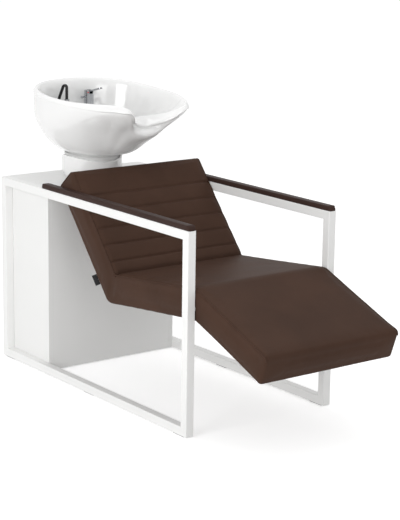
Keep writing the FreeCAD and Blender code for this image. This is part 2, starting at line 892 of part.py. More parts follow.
bowl_height_shares = (0, 0.03, 0.1, 0.25, 0.35, 0.45, 0.6, 0.72, 0.85, 1)
bowl_width_shares = (0.1, 0.3, 0.52, 0.72, 0.8, 0.86, 0.92, 0.95, 0.975, 1)
bowl_front_shares = (0.1, 0.28, 0.46, 0.62, 0.69, 0.74, 0.81, 0.88, 0.94, 1)
wing_fade_shares = (0.3, 1)
neck_blend_start_share = 0.45
front_blend_degs = (80, 160)
bowl_blend_degs = (95, 140)
hollow_blend_degs = (115, 165)


def smooth(low, high, value):
    t = min(max((value - low) / (high - low), 0), 1)
    return t * t * (3 - 2 * t)


def looked_up(keys, values, key):
    """The value at key, on straight lines between the listed ones."""
    for i in range(1, len(keys)):
        if key <= keys[i] or i == len(keys) - 1:
            share = (key - keys[i - 1]) / (keys[i] - keys[i - 1])
            return values[i - 1] + (values[i] - values[i - 1]) * min(share, 1)


def rim_height(y):
    t = (y + rim_rise_start) / rim_rise_run
    return rim_side_height + rim_rise * t + rim_curve_rise * t * t


def half_outline():
    """Stations of the rim from the rear middle to the front middle: (x, y, crest height, egg's y)."""
    stations = []
    depth = basin_rear_reach + basin_side_line
    half_width = basin_half_width * net_swell_share
    for i in range(quarter_steps + 1):
        angle = math.pi / 2 * i / quarter_steps
        x = half_width * math.sin(angle) ** outline_power_share
        y = depth * math.cos(angle) ** outline_power_share - basin_side_line
        stations.append((x, y, rim_height(y), y))
    drops = [0] * (len(front_x_shares) - len(lip_drop_shares)) + list(lip_drop_shares)
    for x_share, y_share, drop in zip(front_x_shares, front_y_shares, drops):
        x = half_width * x_share
        y = -basin_front_reach * net_swell_share * y_share
        crest = rim_height(y) if drop == 0 else rim_side_height - lip_drop * drop
        stations.append((x, y, crest, -basin_side_line - egg_front * math.sqrt(1 - x_share**2)))
    return stations


outline_half = half_outline()
last_station = len(outline_half) - 1


def full_circle(half_points):
    """All stations from those of the right half; points are (x, y, z) about the basin's axis."""
    left = [(-x, y, z) for x, y, z in half_points[-2:0:-1]]
    return half_points + left


def offset_points(points, distances):
    """Half-stations moved outwards, square to their own outline in the level plane."""
    ring = full_circle(points)
    moved = []
    for i, (x, y, z) in enumerate(points):
        before = ring[i - 1]
        after = ring[(i + 1) % len(ring)]
        size = math.hypot(after[0] - before[0], after[1] - before[1])
        way_x = -(after[1] - before[1]) / size
        way_y = (after[0] - before[0]) / size
        moved.append((x + way_x * distances[i], y + way_y * distances[i], z))
    return moved


def station_angle(j):
    x, _, _, egg_y = outline_half[j]
    return math.atan2(x, egg_y)


def on_circle(j, r):
    return (r * math.sin(station_angle(j)), r * math.cos(station_angle(j)))


def blended(a, b, share):
    return (a[0] + (b[0] - a[0]) * share, a[1] + (b[1] - a[1]) * share)


def front_weight(j):
    """0 at the rear and sides, 1 at the front."""
    return smooth(*front_blend_degs, math.degrees(station_angle(j)))


def outer_point(j, height_share):
    """The outer wall at station j, at a share of the height from the foot's top to the rim's roll."""
    x, y, crest, egg_y = outline_half[j]
    front = front_weight(j)
    rear_width = looked_up(body_height_shares, body_rear_shares, height_share)
    front_width = looked_up(body_height_shares, body_front_shares, height_share)
    width = rear_width + (front_width - rear_width) * front
    into_neck = smooth(neck_blend_start_share, 1, height_share)
    target = (x, egg_y + (y - egg_y) * into_neck)
    px, py = blended(on_circle(j, basin_waist_r), target, width)
    z = basin_body_start + height_share * (crest - rim_roll_drop - basin_body_start)
    return (px, py, z)


def roll_insets():
    return [wing_roll_inset if j in wing_stations else rim_roll_inset for j in range(last_station + 1)]


rim_line = [(x, y, crest) for x, y, crest, _ in outline_half]
inner_rim = offset_points(rim_line, [-d for d in roll_insets()])

# The deck's rows at the rear stations: (height share of the row, y, height)
deck_rows = (
    (0.72, deck_rear, deck_height),
    (0.66, (deck_rear * 2 + deck_front) / 3, deck_height),
    (0.6, (deck_rear + deck_front) / 2, deck_height),
    (0.53, (deck_rear + deck_front * 2) / 3, deck_height),
    (0.45, deck_front, deck_height - deck_nose_drop),
)
apron_height_shares = (0.35, 0.25, 0.1, 0.03)
apron_y_shares = (1.04, 1, 0.92, 0.84)
apron_x_shares = (0.98, 0.93, 0.75, 0.5)
deck_share_low = 0.03
deck_share_high = 0.72


def plain_front(j):
    """The bowl's inside at a front station without wings and neck: a quarter of an oval."""
    side_x = inner_rim[quarter_steps][0]
    turn = math.pi / 2 * (j - quarter_steps) / (last_station - quarter_steps)
    depth = -inner_rim[last_station][1] - basin_side_line
    return (side_x * math.cos(turn), -basin_side_line - depth * math.sin(turn))


def inner_point(j, height_share):
    """The bowl's inside at station j, at a share of the height from the floor to the rim's roll."""
    x, y, crest = inner_rim[j]
    if j > quarter_steps:
        x, y = blended(plain_front(j), (x, y), smooth(*wing_fade_shares, height_share))
    z = basin_floor + height_share * (crest - rim_roll_drop - basin_floor)
    if j <= deck_last_station and deck_share_low <= height_share <= deck_share_high:
        shares = [row[0] for row in deck_rows]
        if height_share >= shares[-1]:
            row = min(deck_rows, key=lambda r: abs(r[0] - height_share))
            return (x, row[1], row[2])
        low_first = list(reversed(apron_height_shares))
        y = apron_y * looked_up(low_first, list(reversed(apron_y_shares)), height_share)
        x = x * looked_up(low_first, list(reversed(apron_x_shares)), height_share)
        top = (deck_height - deck_nose_drop - basin_floor) / shares[-1]
        return (x, y, basin_floor + height_share * top)
    rear_width = looked_up(bowl_height_shares, bowl_width_shares, height_share)
    front_width = looked_up(bowl_height_shares, bowl_front_shares, height_share)
    to_front = smooth(*bowl_blend_degs, math.degrees(station_angle(j)))
    width = rear_width + (front_width - rear_width) * to_front
    px, py = blended(on_circle(j, basin_floor_r), (x, y), width)
    return (px, py, z)


def circle_row(r, z):
    return [(*on_circle(j, r), z) for j in range(last_station + 1)]


bowl_row_shares = (0.94, 0.85, 0.72, 0.66, 0.6, 0.53, 0.45, 0.35, 0.25, 0.1, 0.03, 0)
crest_inset_shares = (0.2, 0.72)


def basin_rows():
    """Rows of the ceramic's net, from the foot up the outside, over the rim and down to the floor."""
    rows = [circle_row(basin_foot_r, basin_foot_height)]
    rows.append(circle_row(basin_foot_r, basin_foot_height + rim_roll_drop / 4))
    ankle_r = basin_foot_r + (basin_waist_r - basin_foot_r) * 3 / 4
    rows.append(circle_row(ankle_r, basin_foot_height + basin_wall * 3 / 2))
    rows.append(circle_row(basin_waist_r, basin_body_start - rim_crest_lift * 2))
    for share in body_height_shares:
        rows.append([outer_point(j, share) for j in range(last_station + 1)])
    for share in crest_inset_shares:
        insets = [-d * share for d in roll_insets()]
        rows.append([(x, y, z + rim_crest_lift) for x, y, z in offset_points(rim_line, insets)])
    for share in bowl_row_shares:
        rows.append([inner_point(j, share) for j in range(last_station + 1)])
    rows.append(circle_row(basin_floor_r, basin_floor))
    return rows


hollow_top_shares = (0.35, 0.6, 0.22)
hollow_rise_shares = (0.12, 0.3, 0.5, 0.75, 1)
hollow_fall_shares = (1, 0.75, 0.5, 0.28, 0.12, 0.05)
hollow_drop_shares = (0.3, 0.3, 0.45, 0.65, 0.9, 1)


def hollow_top_share(j):
    """How high the hollow goes at station j, as a share of the bowl's inner height."""
    deck, side, neck = hollow_top_shares
    if j <= deck_last_station + 1:
        return deck
    if j == deck_last_station + 2:
        return (deck + side) / 2
    return side + (neck - side) * smooth(*hollow_blend_degs, math.degrees(station_angle(j)))


def hollow_rows():
    """Rows of the hollow's net: up inside the outer wall, over, and down along the bowl's underside."""
    foot_r = basin_foot_r - foot_wall
    rows = [circle_row(foot_r, basin_foot_height - overrun)]
    rows.append(circle_row(foot_r, basin_foot_height + basin_wall))
    rows.append(circle_row(foot_r + overrun, basin_body_start - basin_wall))
    count = last_station + 1
    tops = [inner_point(j, hollow_top_share(j)) for j in range(count)]
    last_outer = None
    for share in hollow_rise_shares:
        row = []
        for j in range(count):
            x, y, crest, _ = outline_half[j]
            z_top = tops[j][2] - basin_floor_thick * hollow_drop_shares[0]
            z = basin_body_start + share * (z_top - basin_body_start)
            height_share = (z - basin_body_start) / (crest - rim_roll_drop - basin_body_start)
            row.append(outer_point(j, height_share))
        last_outer = offset_points(row, [-basin_wall] * count)
        rows.append(last_outer)
    falling = []
    for share, drop in zip(hollow_fall_shares, hollow_drop_shares):
        row = [inner_point(j, hollow_top_share(j) * share) for j in range(count)]
        row = offset_points(row, [basin_wall] * count)
        falling.append([(x, y, z - basin_floor_thick * drop) for x, y, z in row])
    for share in (1 / 3, 2 / 3):
        row = []
        for a, b in zip(last_outer, falling[0]):
            x, y = blended(a, b, share)
            row.append((x, y, max(a[2], b[2]) + rim_crest_lift))
        rows.append(row)
    rows += falling
    floor_under = basin_floor - basin_floor_thick
    rows.append(circle_row(basin_floor_r + basin_floor_thick * 2, floor_under + rim_crest_lift * 2))
    rows.append(circle_row(basin_floor_r + basin_floor_thick * 3 / 2, floor_under))
    rows.append(circle_row(basin_floor_r + basin_floor_thick, floor_under))
    return rows


def lies_level(edge, z):
    box_of_edge = edge.BoundBox
    slack = running_clearance / 10
    return abs(box_of_edge.ZMin - z) < slack and abs(box_of_edge.ZMax - z) < slack


def net_solid(rows):
    """A solid from rows of half-stations: a smooth skin on the net, closed by a flat disc at each end."""
    poles = []
    for row in rows:
        poles.append([V(x, y_basin + y, z) for x, y, z in full_circle(row)])
    around = len(poles[0])
    up = len(poles)
    net = [[poles[j][i] for j in range(up)] for i in range(around)]
    surface = Part.BSplineSurface()
    spans = up - 3
    surface.buildFromPolesMultsKnots(
        net,
        [1] * (around + 1),
        [4] + [1] * (up - 4) + [4],
        list(range(around + 1)),
        list(range(up - 2)),
        True,
        False,
        3,
        3,
    )
    skins = []
    for start in (0, around / 2):
        half = surface.copy()
        half.segment(start, start + around / 2, 0, spans)
        skins.append(half.toShape())
    discs = []
    for z in (rows[0][0][2], rows[-1][0][2]):
        rim = [e for skin in skins for e in skin.Edges if lies_level(e, z)]
        discs.append(Part.Face(Part.Wire(Part.__sortEdges__(rim))))
    shell = Part.makeShell(skins + discs)
    shell.sewShape()
    solid = Part.Solid(shell)
    if solid.Volume < 0:
        solid.reverse()
    return solid


tap_x = tap_spread / 2
y_tap = y_basin + tap_y


def make_basin():
    ceramic = net_solid(basin_rows()).cut(net_solid(hollow_rows()))
    holes = [rod_z(0, y_basin, basin_floor - 2 * basin_floor_thick, basin_floor + overrun, drain_hole_r)]
    deck_under = deck_height - deck_thick
    pocket_low = deck_under - deck_pocket_depth
    for x, r in ((tap_x, mixer_shank_r), (-tap_x, guide_r)):
        holes.append(rod_z(x, y_tap, deck_under - overrun, deck_height + overrun, r + screw_clearance))
        holes.append(rod_z(x, y_tap, pocket_low, deck_under, r + deck_nut_margin + deck_nut_room))
    save("basin_bowl", without(ceramic, holes))


# Pedestal: a ceramic collar round a steel yoke, in which the basin's carrier tilts


def make_collar():
    z0 = rail_top
    belly_low = z0 + collar_belly_height
    ear = basin_body_start - collar_gap
    edges = []
    for r_foot, r_belly in (
        (collar_foot_r, collar_belly_r),
        (collar_foot_r - collar_wall, collar_belly_r - collar_wall),
    ):
        between_r = r_foot + (r_belly - r_foot) * crown_shoulder_share
        start = V(r_foot, y_basin, z0)
        middle = V(between_r, y_basin, z0 + collar_belly_height / 3)
        stop = V(r_belly, y_basin, belly_low)
        edges.append((Part.Arc(start, middle, stop).toShape(), start, stop))
    outer, inner = edges
    top_outer = V(collar_belly_r, y_basin, ear)
    top_inner = V(collar_belly_r - collar_wall, y_basin, ear)
    wire = Part.Wire(
        [
            outer[0],
            Part.LineSegment(outer[2], top_outer).toShape(),
            Part.LineSegment(top_outer, top_inner).toShape(),
            Part.LineSegment(top_inner, inner[2]).toShape(),
            inner[0],
            Part.LineSegment(inner[1], outer[1]).toShape(),
        ]
    )
    barrel = Part.Face(wire).revolve(V(0, y_basin, 0), AXIS_Z, 360)
    reach = collar_belly_r
    saddle_r = (reach**2 + collar_dip**2) / (2 * collar_dip)
    saddle = rod_x(y_basin, ear - saddle_r, -reach - overrun, reach + overrun, saddle_r)
    save("basin_collar", barrel.common(saddle))


lug_outer = yoke_arm_x - lug_gap
lug_inner = lug_outer - yoke_thick


def make_yoke():
    z0 = rail_top
    z1 = z0 + yoke_thick
    ring = ring_z(0, y_basin, z0, z1, collar_foot_r - collar_wall - seat_gap, yoke_ring_hole_r)
    arm_top = tilt_axis_height + yoke_arm_top
    arms = []
    for x in (-yoke_arm_x - yoke_thick, yoke_arm_x):
        arm = box(x, y_basin - yoke_arm_half, z0, x + yoke_thick, y_basin + yoke_arm_half, arm_top)
        arms.append(arm)
    yoke = joined([ring] + arms)
    reach = yoke_arm_x + yoke_thick + overrun
    yoke = yoke.cut(rod_x(y_basin, tilt_axis_height, -reach, reach, pin_r))
    bolts = []
    for x, y in yoke_bolt_places():
        yoke = yoke.cut(rod_z(x, y, z0 - overrun, z1 + overrun, bolt_r))
        shank = rod_z(x, y, z_top_under - bolt_nut_height, z1, bolt_r)
        head = rod_z(x, y, z1, z1 + bolt_head_height, bolt_head_r)
        nut = rod_z(x, y, z_top_under - bolt_nut_height, z_top_under, bolt_head_r)
        bolts.append(joined([shank, head, nut]))
    save("tilt_yoke", yoke)
    save("yoke_bolts", group(bolts))


def make_carrier():
    y0 = y_basin - carrier_half_y
    y1 = y_basin + carrier_half_y
    plate = box(-lug_outer, y0, carrier_under, lug_outer, y1, carrier_top)
    plate = plate.cut(rod_z(0, y_basin, carrier_under - overrun, carrier_top + overrun, carrier_hole_r))
    parts = [plate]
    pins = []
    lug_foot = tilt_axis_height - lug_half + lug_gap
    for x in (-lug_outer, lug_inner):
        parts.append(box(x, y_basin - lug_half, lug_foot, x + yoke_thick, y_basin + lug_half, carrier_under))
    carrier = joined(parts)
    reach = lug_outer + overrun
    carrier = carrier.cut(rod_x(y_basin, tilt_axis_height, -reach, reach, pin_r + running_clearance))
    outer = yoke_arm_x + yoke_thick
    pin = rod_x(y_basin, tilt_axis_height, -outer, -lug_inner + pin_inner_reach, pin_r)
    head = rod_x(y_basin, tilt_axis_height, -outer - pin_head_height, -outer, pin_head_r)
    pins.append(joined([pin, head]))
    save("basin_carrier", carrier)
    save("tilt_pins", both(pins))


# Waste: flanged drain with washer and nut, strainer, rubber cup, hose and spigot


def make_waste():
    flange_top = basin_floor + waste_flange_height
    foot_z = basin_floor - waste_length
    body = joined(
        [
            rod_z(0, y_basin, basin_floor, flange_top, waste_flange_r),
            rod_z(0, y_basin, foot_z, basin_floor, waste_r),
        ]
    )
    body = body.cut(rod_z(0, y_basin, foot_z - overrun, flange_top + overrun, waste_bore_r))
    washer_low = carrier_under - waste_washer_height
    save("waste_fitting", body)
    save("waste_washer", ring_z(0, y_basin, washer_low, carrier_under, waste_nut_r, waste_r))
    save("waste_nut", ring_z(0, y_basin, washer_low - waste_nut_height, washer_low, waste_nut_r, waste_r))
    dome_low = flange_top + seat_gap
    rim = V(strainer_r, y_basin, dome_low)
    top = V(0, y_basin, dome_low + strainer_rise)
    bow_r = (strainer_r**2 + strainer_rise**2) / (2 * strainer_rise)
    bow_angle = math.asin(strainer_r / bow_r) / 2
    bow_z = top.z - bow_r * (1 - math.cos(bow_angle))
    bow = V(bow_r * math.sin(bow_angle), y_basin, bow_z)
    foot = V(0, y_basin, dome_low)
    outline = Part.Wire(
        [
            Part.LineSegment(foot, rim).toShape(),
            Part.Arc(rim, bow, top).toShape(),
            Part.LineSegment(top, foot).toShape(),
        ]
    )
    dome = Part.Face(outline).revolve(V(0, y_basin, 0), AXIS_Z, 360)
    skirt_bore = strainer_skirt_r - strainer_skirt_wall
    skirt_low = flange_top - strainer_skirt_depth
    skirt = ring_z(0, y_basin, skirt_low, dome_low + overrun, strainer_skirt_r, skirt_bore)
    strainer = joined([dome, skirt])
    for i in range(strainer_hole_count):
        angle = 2 * math.pi * i / strainer_hole_count
        x = strainer_ring_r * math.cos(angle)
        y = y_basin + strainer_ring_r * math.sin(angle)
        hole = rod_z(x, y, dome_low - overrun, dome_low + 2 * strainer_rise, strainer_hole_r)
        strainer = strainer.cut(hole)
    save("strainer", strainer)


def make_drain():
    neck_foot = rail_top - cup_neck_drop
    neck_bore = cup_neck_r - cup_wall
    cup = turned(
        [
            (neck_bore, neck_foot),
            (cup_neck_r, neck_foot),
            (cup_neck_r, rail_top),
            (cup_flange_r, rail_top),
            (cup_flange_r, rail_top + cup_wall),
            (cup_r, rail_top + cup_wall),
            (cup_r, rail_top + cup_height),
            (cup_r - cup_wall, rail_top + cup_height),
            (cup_r - cup_wall, rail_top + 2 * cup_wall),
            (neck_bore, rail_top + cup_wall),
        ],
        0,
        y_basin,
    )
    save("drain_cup", cup)
    flange_top = z_shelf_top + spigot_flange_height
    hose_outer_r = cup_neck_r + drain_hose_wall
    hose_top = neck_foot + drain_hose_grip
    save("drain_hose", ring_z(0, y_basin, flange_top, hose_top, hose_outer_r, cup_neck_r))
    spigot = joined(
        [
            rod_z(0, y_basin, z_shelf_top, flange_top, spigot_flange_r),
            rod_z(0, y_basin, shelf_height, flange_top + spigot_rise, waste_r),
            rod_z(0, y_basin, shelf_height - spigot_drop, shelf_height, outlet_r),
        ]
    )
    bore = rod_z(0, y_basin, 0, flange_top + spigot_rise + overrun, waste_r - spigot_wall)
    save("drain_spigot", spigot.cut(bore))


# Supply: two inlets on the shelf, and hoses that cross the tilt axis and end under the mixer


def hose(points, bend_r):
    """A hose along straight runs joined by tangent arcs, with its bore."""
    corners = [V(*p) for p in points]
    edges = []
    start = corners[0]
    for i in range(1, len(corners) - 1):
        back_way_v = (corners[i - 1] - corners[i]).normalize()
        on_way = (corners[i + 1] - corners[i]).normalize()
        half = back_way_v.getAngle(on_way) / 2
        reach = bend_r / math.tan(half)
        bisector = (back_way_v + on_way).normalize()
        a = corners[i] + back_way_v * reach
        b = corners[i] + on_way * reach
        m = corners[i] + bisector * (bend_r / math.sin(half) - bend_r)
        edges.append(Part.LineSegment(start, a).toShape())
        edges.append(Part.Arc(a, m, b).toShape())
        start = b
    edges.append(Part.LineSegment(start, corners[-1]).toShape())
    path = Part.Wire(edges)
    way = (corners[1] - corners[0]).normalize()
    tubes = []
    for r in (hose_r, hose_bore_r):
        circle = Part.Wire([Part.makeCircle(r, corners[0], way)])
        tubes.append(path.makePipeShell([circle], True, False))
    return tubes[0].cut(tubes[1])


# The two hoses' places on the way to the mixer, and how high each lies between the tilt axis and the shank
hot_route = ((hose_x, 0), (hose_x, 50), (50, 98), (53.5, 94), (53.5, 94))
hot_rise_shares = (0, 0, 0.365, 0.6825, 1)
cold_route = ((-hose_x, 0), (-hose_x, 50), (-36, 100), (15, 100), (42.5, 94), (42.5, 94))
cold_rise_shares = (0, 0, 0.397, 0.698, 0.778, 1)


def make_supply():
    split = hose_split_gap / 2
    top_hoses = []
    rise = deck_height - mixer_shank_drop - tilt_axis_height
    for route, rise_shares in ((hot_route, hot_rise_shares), (cold_route, cold_rise_shares)):
        points = []
        for (x, y), share in zip(route, rise_shares):
            points.append((x, y_basin + max(y, split), tilt_axis_height + rise * share))
        top_hoses.append(hose(points, hose_r * 2))
    save("supply_hose_tops", group(top_hoses))
    y = y_basin - hose_setback
    low = z_shelf_top + inlet_collar_height
    tail = hose(
        [(-hose_x, y, low), (-hose_x, y, tilt_axis_height), (-hose_x, y_basin - split, tilt_axis_height)],
        hose_bend_r,
    )
    save("supply_hose_tails", both([tail]))
    nipple = joined(
        [
            rod_z(-hose_x, y, shelf_height - inlet_drop, shelf_height, inlet_r),
            rod_z(-hose_x, y, shelf_height, z_shelf_top, inlet_shank_r),
            rod_z(-hose_x, y, z_shelf_top, low, inlet_collar_r),
            rod_z(-hose_x, y, low, low + inlet_barb, hose_bore_r),
        ]
    )
    save("inlet_nipples", both([nipple]))


# Mixer: body in the deck, turning cap, lifting lever


def make_mixer():
    z0 = deck_height
    z_body = z0 + mixer_flange_height
    z_top = z_body + mixer_height
    z_shank = z0 - mixer_shank_drop
    stub_z = z_top - mixer_stub_drop
    stub_x = tap_x - mixer_stub_reach
    stub_end = rod_x(y_tap, stub_z, stub_x, stub_x + mixer_stub_r, mixer_stub_r * 4 / 3)
    body = joined(
        [
            rod_z(tap_x, y_tap, z0, z_body, mixer_flange_r),
            rod_z(tap_x, y_tap, z_body, z_top, mixer_r),
            rod_z(tap_x, y_tap, z_shank, z0, mixer_shank_r),
            rod_x(y_tap, stub_z, stub_x, tap_x, mixer_stub_r),
            stub_end,
        ]
    )
    save("mixer_body", body)
    cap_low = z_top + running_clearance
    cap_top = cap_low + mixer_cap_height
    hub_z = cap_top - lever_hub_drop
    slot_half = lever_slot / 2
    cap = rod_z(tap_x, y_tap, cap_low, cap_top, mixer_cap_r)
    slot = box(
        tap_x - slot_half,
        y_tap - mixer_cap_r - overrun,
        cap_top - lever_slot_depth,
        tap_x + slot_half,
        y_tap + lever_hub_r + seat_gap,
        cap_top + overrun,
    )
    pin_reach = mixer_cap_r - pin_inner_reach
    pin_hole = rod_x(y_tap, hub_z, tap_x - pin_reach, tap_x + pin_reach, lever_pin_r + running_clearance)
    save("mixer_cap", without(cap, [slot, pin_hole]))
    half = lever_width / 2
    hub = rod_x(y_tap, hub_z, tap_x - half, tap_x + half, lever_hub_r)
    pin = rod_x(y_tap, hub_z, tap_x - pin_reach + seat_gap, tap_x + pin_reach - seat_gap, lever_pin_r)
    y_tip = y_tap - lever_reach
    z_low = hub_z - lever_thick / 2
    bar = box(tap_x - half, y_tip, z_low, tap_x + half, y_tap, z_low + lever_thick)
    tips = [e for e in bar.Edges if e.BoundBox.YMax < y_tip + overrun and e.BoundBox.ZLength > overrun]
    bar = bar.makeFillet(half - overrun, tips)
    bar.rotate(V(0, y_tap, hub_z), AXIS_X, -lever_rise_deg)
    save("mixer_lever", joined([hub, pin, bar]))
    nut_top = z0 - deck_thick
    nuts = []
    for x, r in ((tap_x, mixer_shank_r), (-tap_x, guide_r)):
        nuts.append(ring_z(x, y_tap, nut_top - deck_nut_height, nut_top, r + deck_nut_margin, r))
    save("deck_nuts", group(nuts))


# Hand shower: a bent black tube that pulls up out of a chrome guide


def make_handset():
    z0 = deck_height
    guide = joined(
        [
            rod_z(-tap_x, y_tap, z0, z0 + guide_flange_height, guide_flange_r),
            rod_z(-tap_x, y_tap, z0 - guide_drop, z0 + guide_height, guide_r),
        ]
    )
    bore_low = z0 - guide_drop - overrun
    bore = rod_z(-tap_x, y_tap, bore_low, z0 + guide_height + overrun, guide_bore_r)
    save("hose_guide", guide.cut(bore))
    foot = V(-tap_x, y_tap, z0 - handset_tail_drop)
    peak = V(-tap_x, y_tap, z0 + handset_bend_rise)
    tip = V(-tap_x - handset_lean_x, y_tap - handset_lean_y, z0 - handset_end_drop)
    up = (foot - peak).normalize()
    down = (tip - peak).normalize()
    half = up.getAngle(down) / 2
    reach = handset_bend_r / math.tan(half)
    bisector = (up + down).normalize()
    a = peak + up * reach
    b = peak + down * reach
    m = peak + bisector * (handset_bend_r / math.sin(half) - handset_bend_r)
    edges = [Part.LineSegment(foot, a), Part.Arc(a, m, b), Part.LineSegment(b, tip)]
    path = Part.Wire([edge.toShape() for edge in edges])
    circle = Part.Wire([Part.makeCircle(handset_r, foot, AXIS_Z)])
    tube = path.makePipeShell([circle], True, False)
    head = Part.makeCylinder(spray_head_r, spray_head_length, tip - down * (spray_head_length / 3), down)
    save("handset", joined([tube, head]))


make_frames()
make_glides()
make_arm_pads()
make_cabinet()
make_door()
make_chaise()
make_tag()
make_basin()
make_collar()
make_yoke()
make_carrier()
make_waste()
make_drain()
make_supply()
make_mixer()
make_handset()
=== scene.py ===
"""Looks of the hair washing bed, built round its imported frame.

Metres in the scene, millimetres in the sizes below. X runs across the seat, -Y points to the
client's feet, +Y to the basin, +Z up.
"""

import json
import math

import bmesh
import bpy
from mathutils import Matrix, Vector, noise
from mathutils.bvhtree import BVHTree


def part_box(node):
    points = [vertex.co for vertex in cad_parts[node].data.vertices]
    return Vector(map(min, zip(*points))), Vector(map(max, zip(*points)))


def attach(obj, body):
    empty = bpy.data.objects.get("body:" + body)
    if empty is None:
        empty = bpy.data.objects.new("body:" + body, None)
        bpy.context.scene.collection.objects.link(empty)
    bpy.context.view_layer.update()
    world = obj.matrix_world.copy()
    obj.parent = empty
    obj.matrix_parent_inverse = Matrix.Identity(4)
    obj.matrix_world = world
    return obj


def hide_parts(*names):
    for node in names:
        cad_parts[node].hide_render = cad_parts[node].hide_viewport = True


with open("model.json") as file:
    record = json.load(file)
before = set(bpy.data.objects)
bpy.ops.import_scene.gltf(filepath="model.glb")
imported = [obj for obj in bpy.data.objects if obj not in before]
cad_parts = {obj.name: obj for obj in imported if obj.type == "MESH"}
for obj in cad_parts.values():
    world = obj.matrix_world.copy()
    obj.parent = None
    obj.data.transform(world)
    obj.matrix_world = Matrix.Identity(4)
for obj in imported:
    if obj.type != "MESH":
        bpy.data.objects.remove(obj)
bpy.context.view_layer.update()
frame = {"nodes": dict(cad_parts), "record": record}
nodes = frame["nodes"]

MM = 0.001
# Places shared with the solids: the chaise's half width, the frames' ends in Y, the basin's
# middle and the top of the arm rails
HALF_CHAISE = 271.2
FRONT = -401.5
REAR = 735.5
BASIN_Y = 598.5
RAIL_TOP = 671.0


# Small helpers: directions in the object's side view, meshes and nodes


def way(degrees):
    """The direction in the side view (y, z) that rises by an angle towards the rear."""
    return Vector((math.cos(math.radians(degrees)), math.sin(math.radians(degrees))))


def down_of(direction):
    """Square to a direction in the side view, on its lower side."""
    return Vector((direction.y, -direction.x))


def crossing(p, d, q, e):
    """Where the line through p along d meets the line through q along e."""
    det = d.x * e.y - d.y * e.x
    return p + d * (((q.x - p.x) * e.y - (q.y - p.y) * e.x) / det)


def new_piece(name, verts, faces, body):
    mesh = bpy.data.meshes.new(name)
    mesh.from_pydata([Vector(v) for v in verts], [], faces)
    mesh.validate()
    obj = bpy.data.objects.new(name, mesh)
    bpy.context.scene.collection.objects.link(obj)
    tidy_normals(obj)
    mesh.polygons.foreach_set("use_smooth", [True] * len(mesh.polygons))
    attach(obj, body)
    return obj


def tidy_normals(obj):
    bm = bmesh.new()
    bm.from_mesh(obj.data)
    bmesh.ops.recalc_face_normals(bm, faces=bm.faces)
    bm.to_mesh(obj.data)
    bm.free()


def apply_modifiers(obj):
    bpy.context.view_layer.update()
    graph = bpy.context.evaluated_depsgraph_get()
    mesh = bpy.data.meshes.new_from_object(obj.evaluated_get(graph))
    obj.modifiers.clear()
    obj.data = mesh
    mesh.polygons.foreach_set("use_smooth", [True] * len(mesh.polygons))


def smooth_step(low, high, value):
    t = min(max((value - low) / (high - low), 0), 1)
    return t * t * (3 - 2 * t)


def bell(distance, width):
    return math.exp(-((distance / width) ** 2))


def tube(name, points, radius, body, sides=8):
    """A thin round tube along points, as a mesh with rings that don't twist."""
    pts = [Vector(p) for p in points]
    count = len(pts)
    verts = []
    faces = []
    normal = None
    for i, p in enumerate(pts):
        tangent = (pts[min(i + 1, count - 1)] - pts[max(i - 1, 0)]).normalized()
        if normal is None:
            normal = tangent.orthogonal()
        normal = (normal - tangent * normal.dot(tangent)).normalized()
        side = tangent.cross(normal)
        for k in range(sides):
            angle = 2 * math.pi * k / sides
            verts.append(p + (normal * math.cos(angle) + side * math.sin(angle)) * radius)
    for i in range(count - 1):
        a = i * sides
        b = (i + 1) * sides
        for k in range(sides):
            n = (k + 1) % sides
            faces.append((a + k, a + n, b + n, b + k))
    faces.append(tuple(range(sides))[::-1])
    faces.append(tuple((count - 1) * sides + k for k in range(sides)))
    return new_piece(name, verts, faces, body)


# Materials


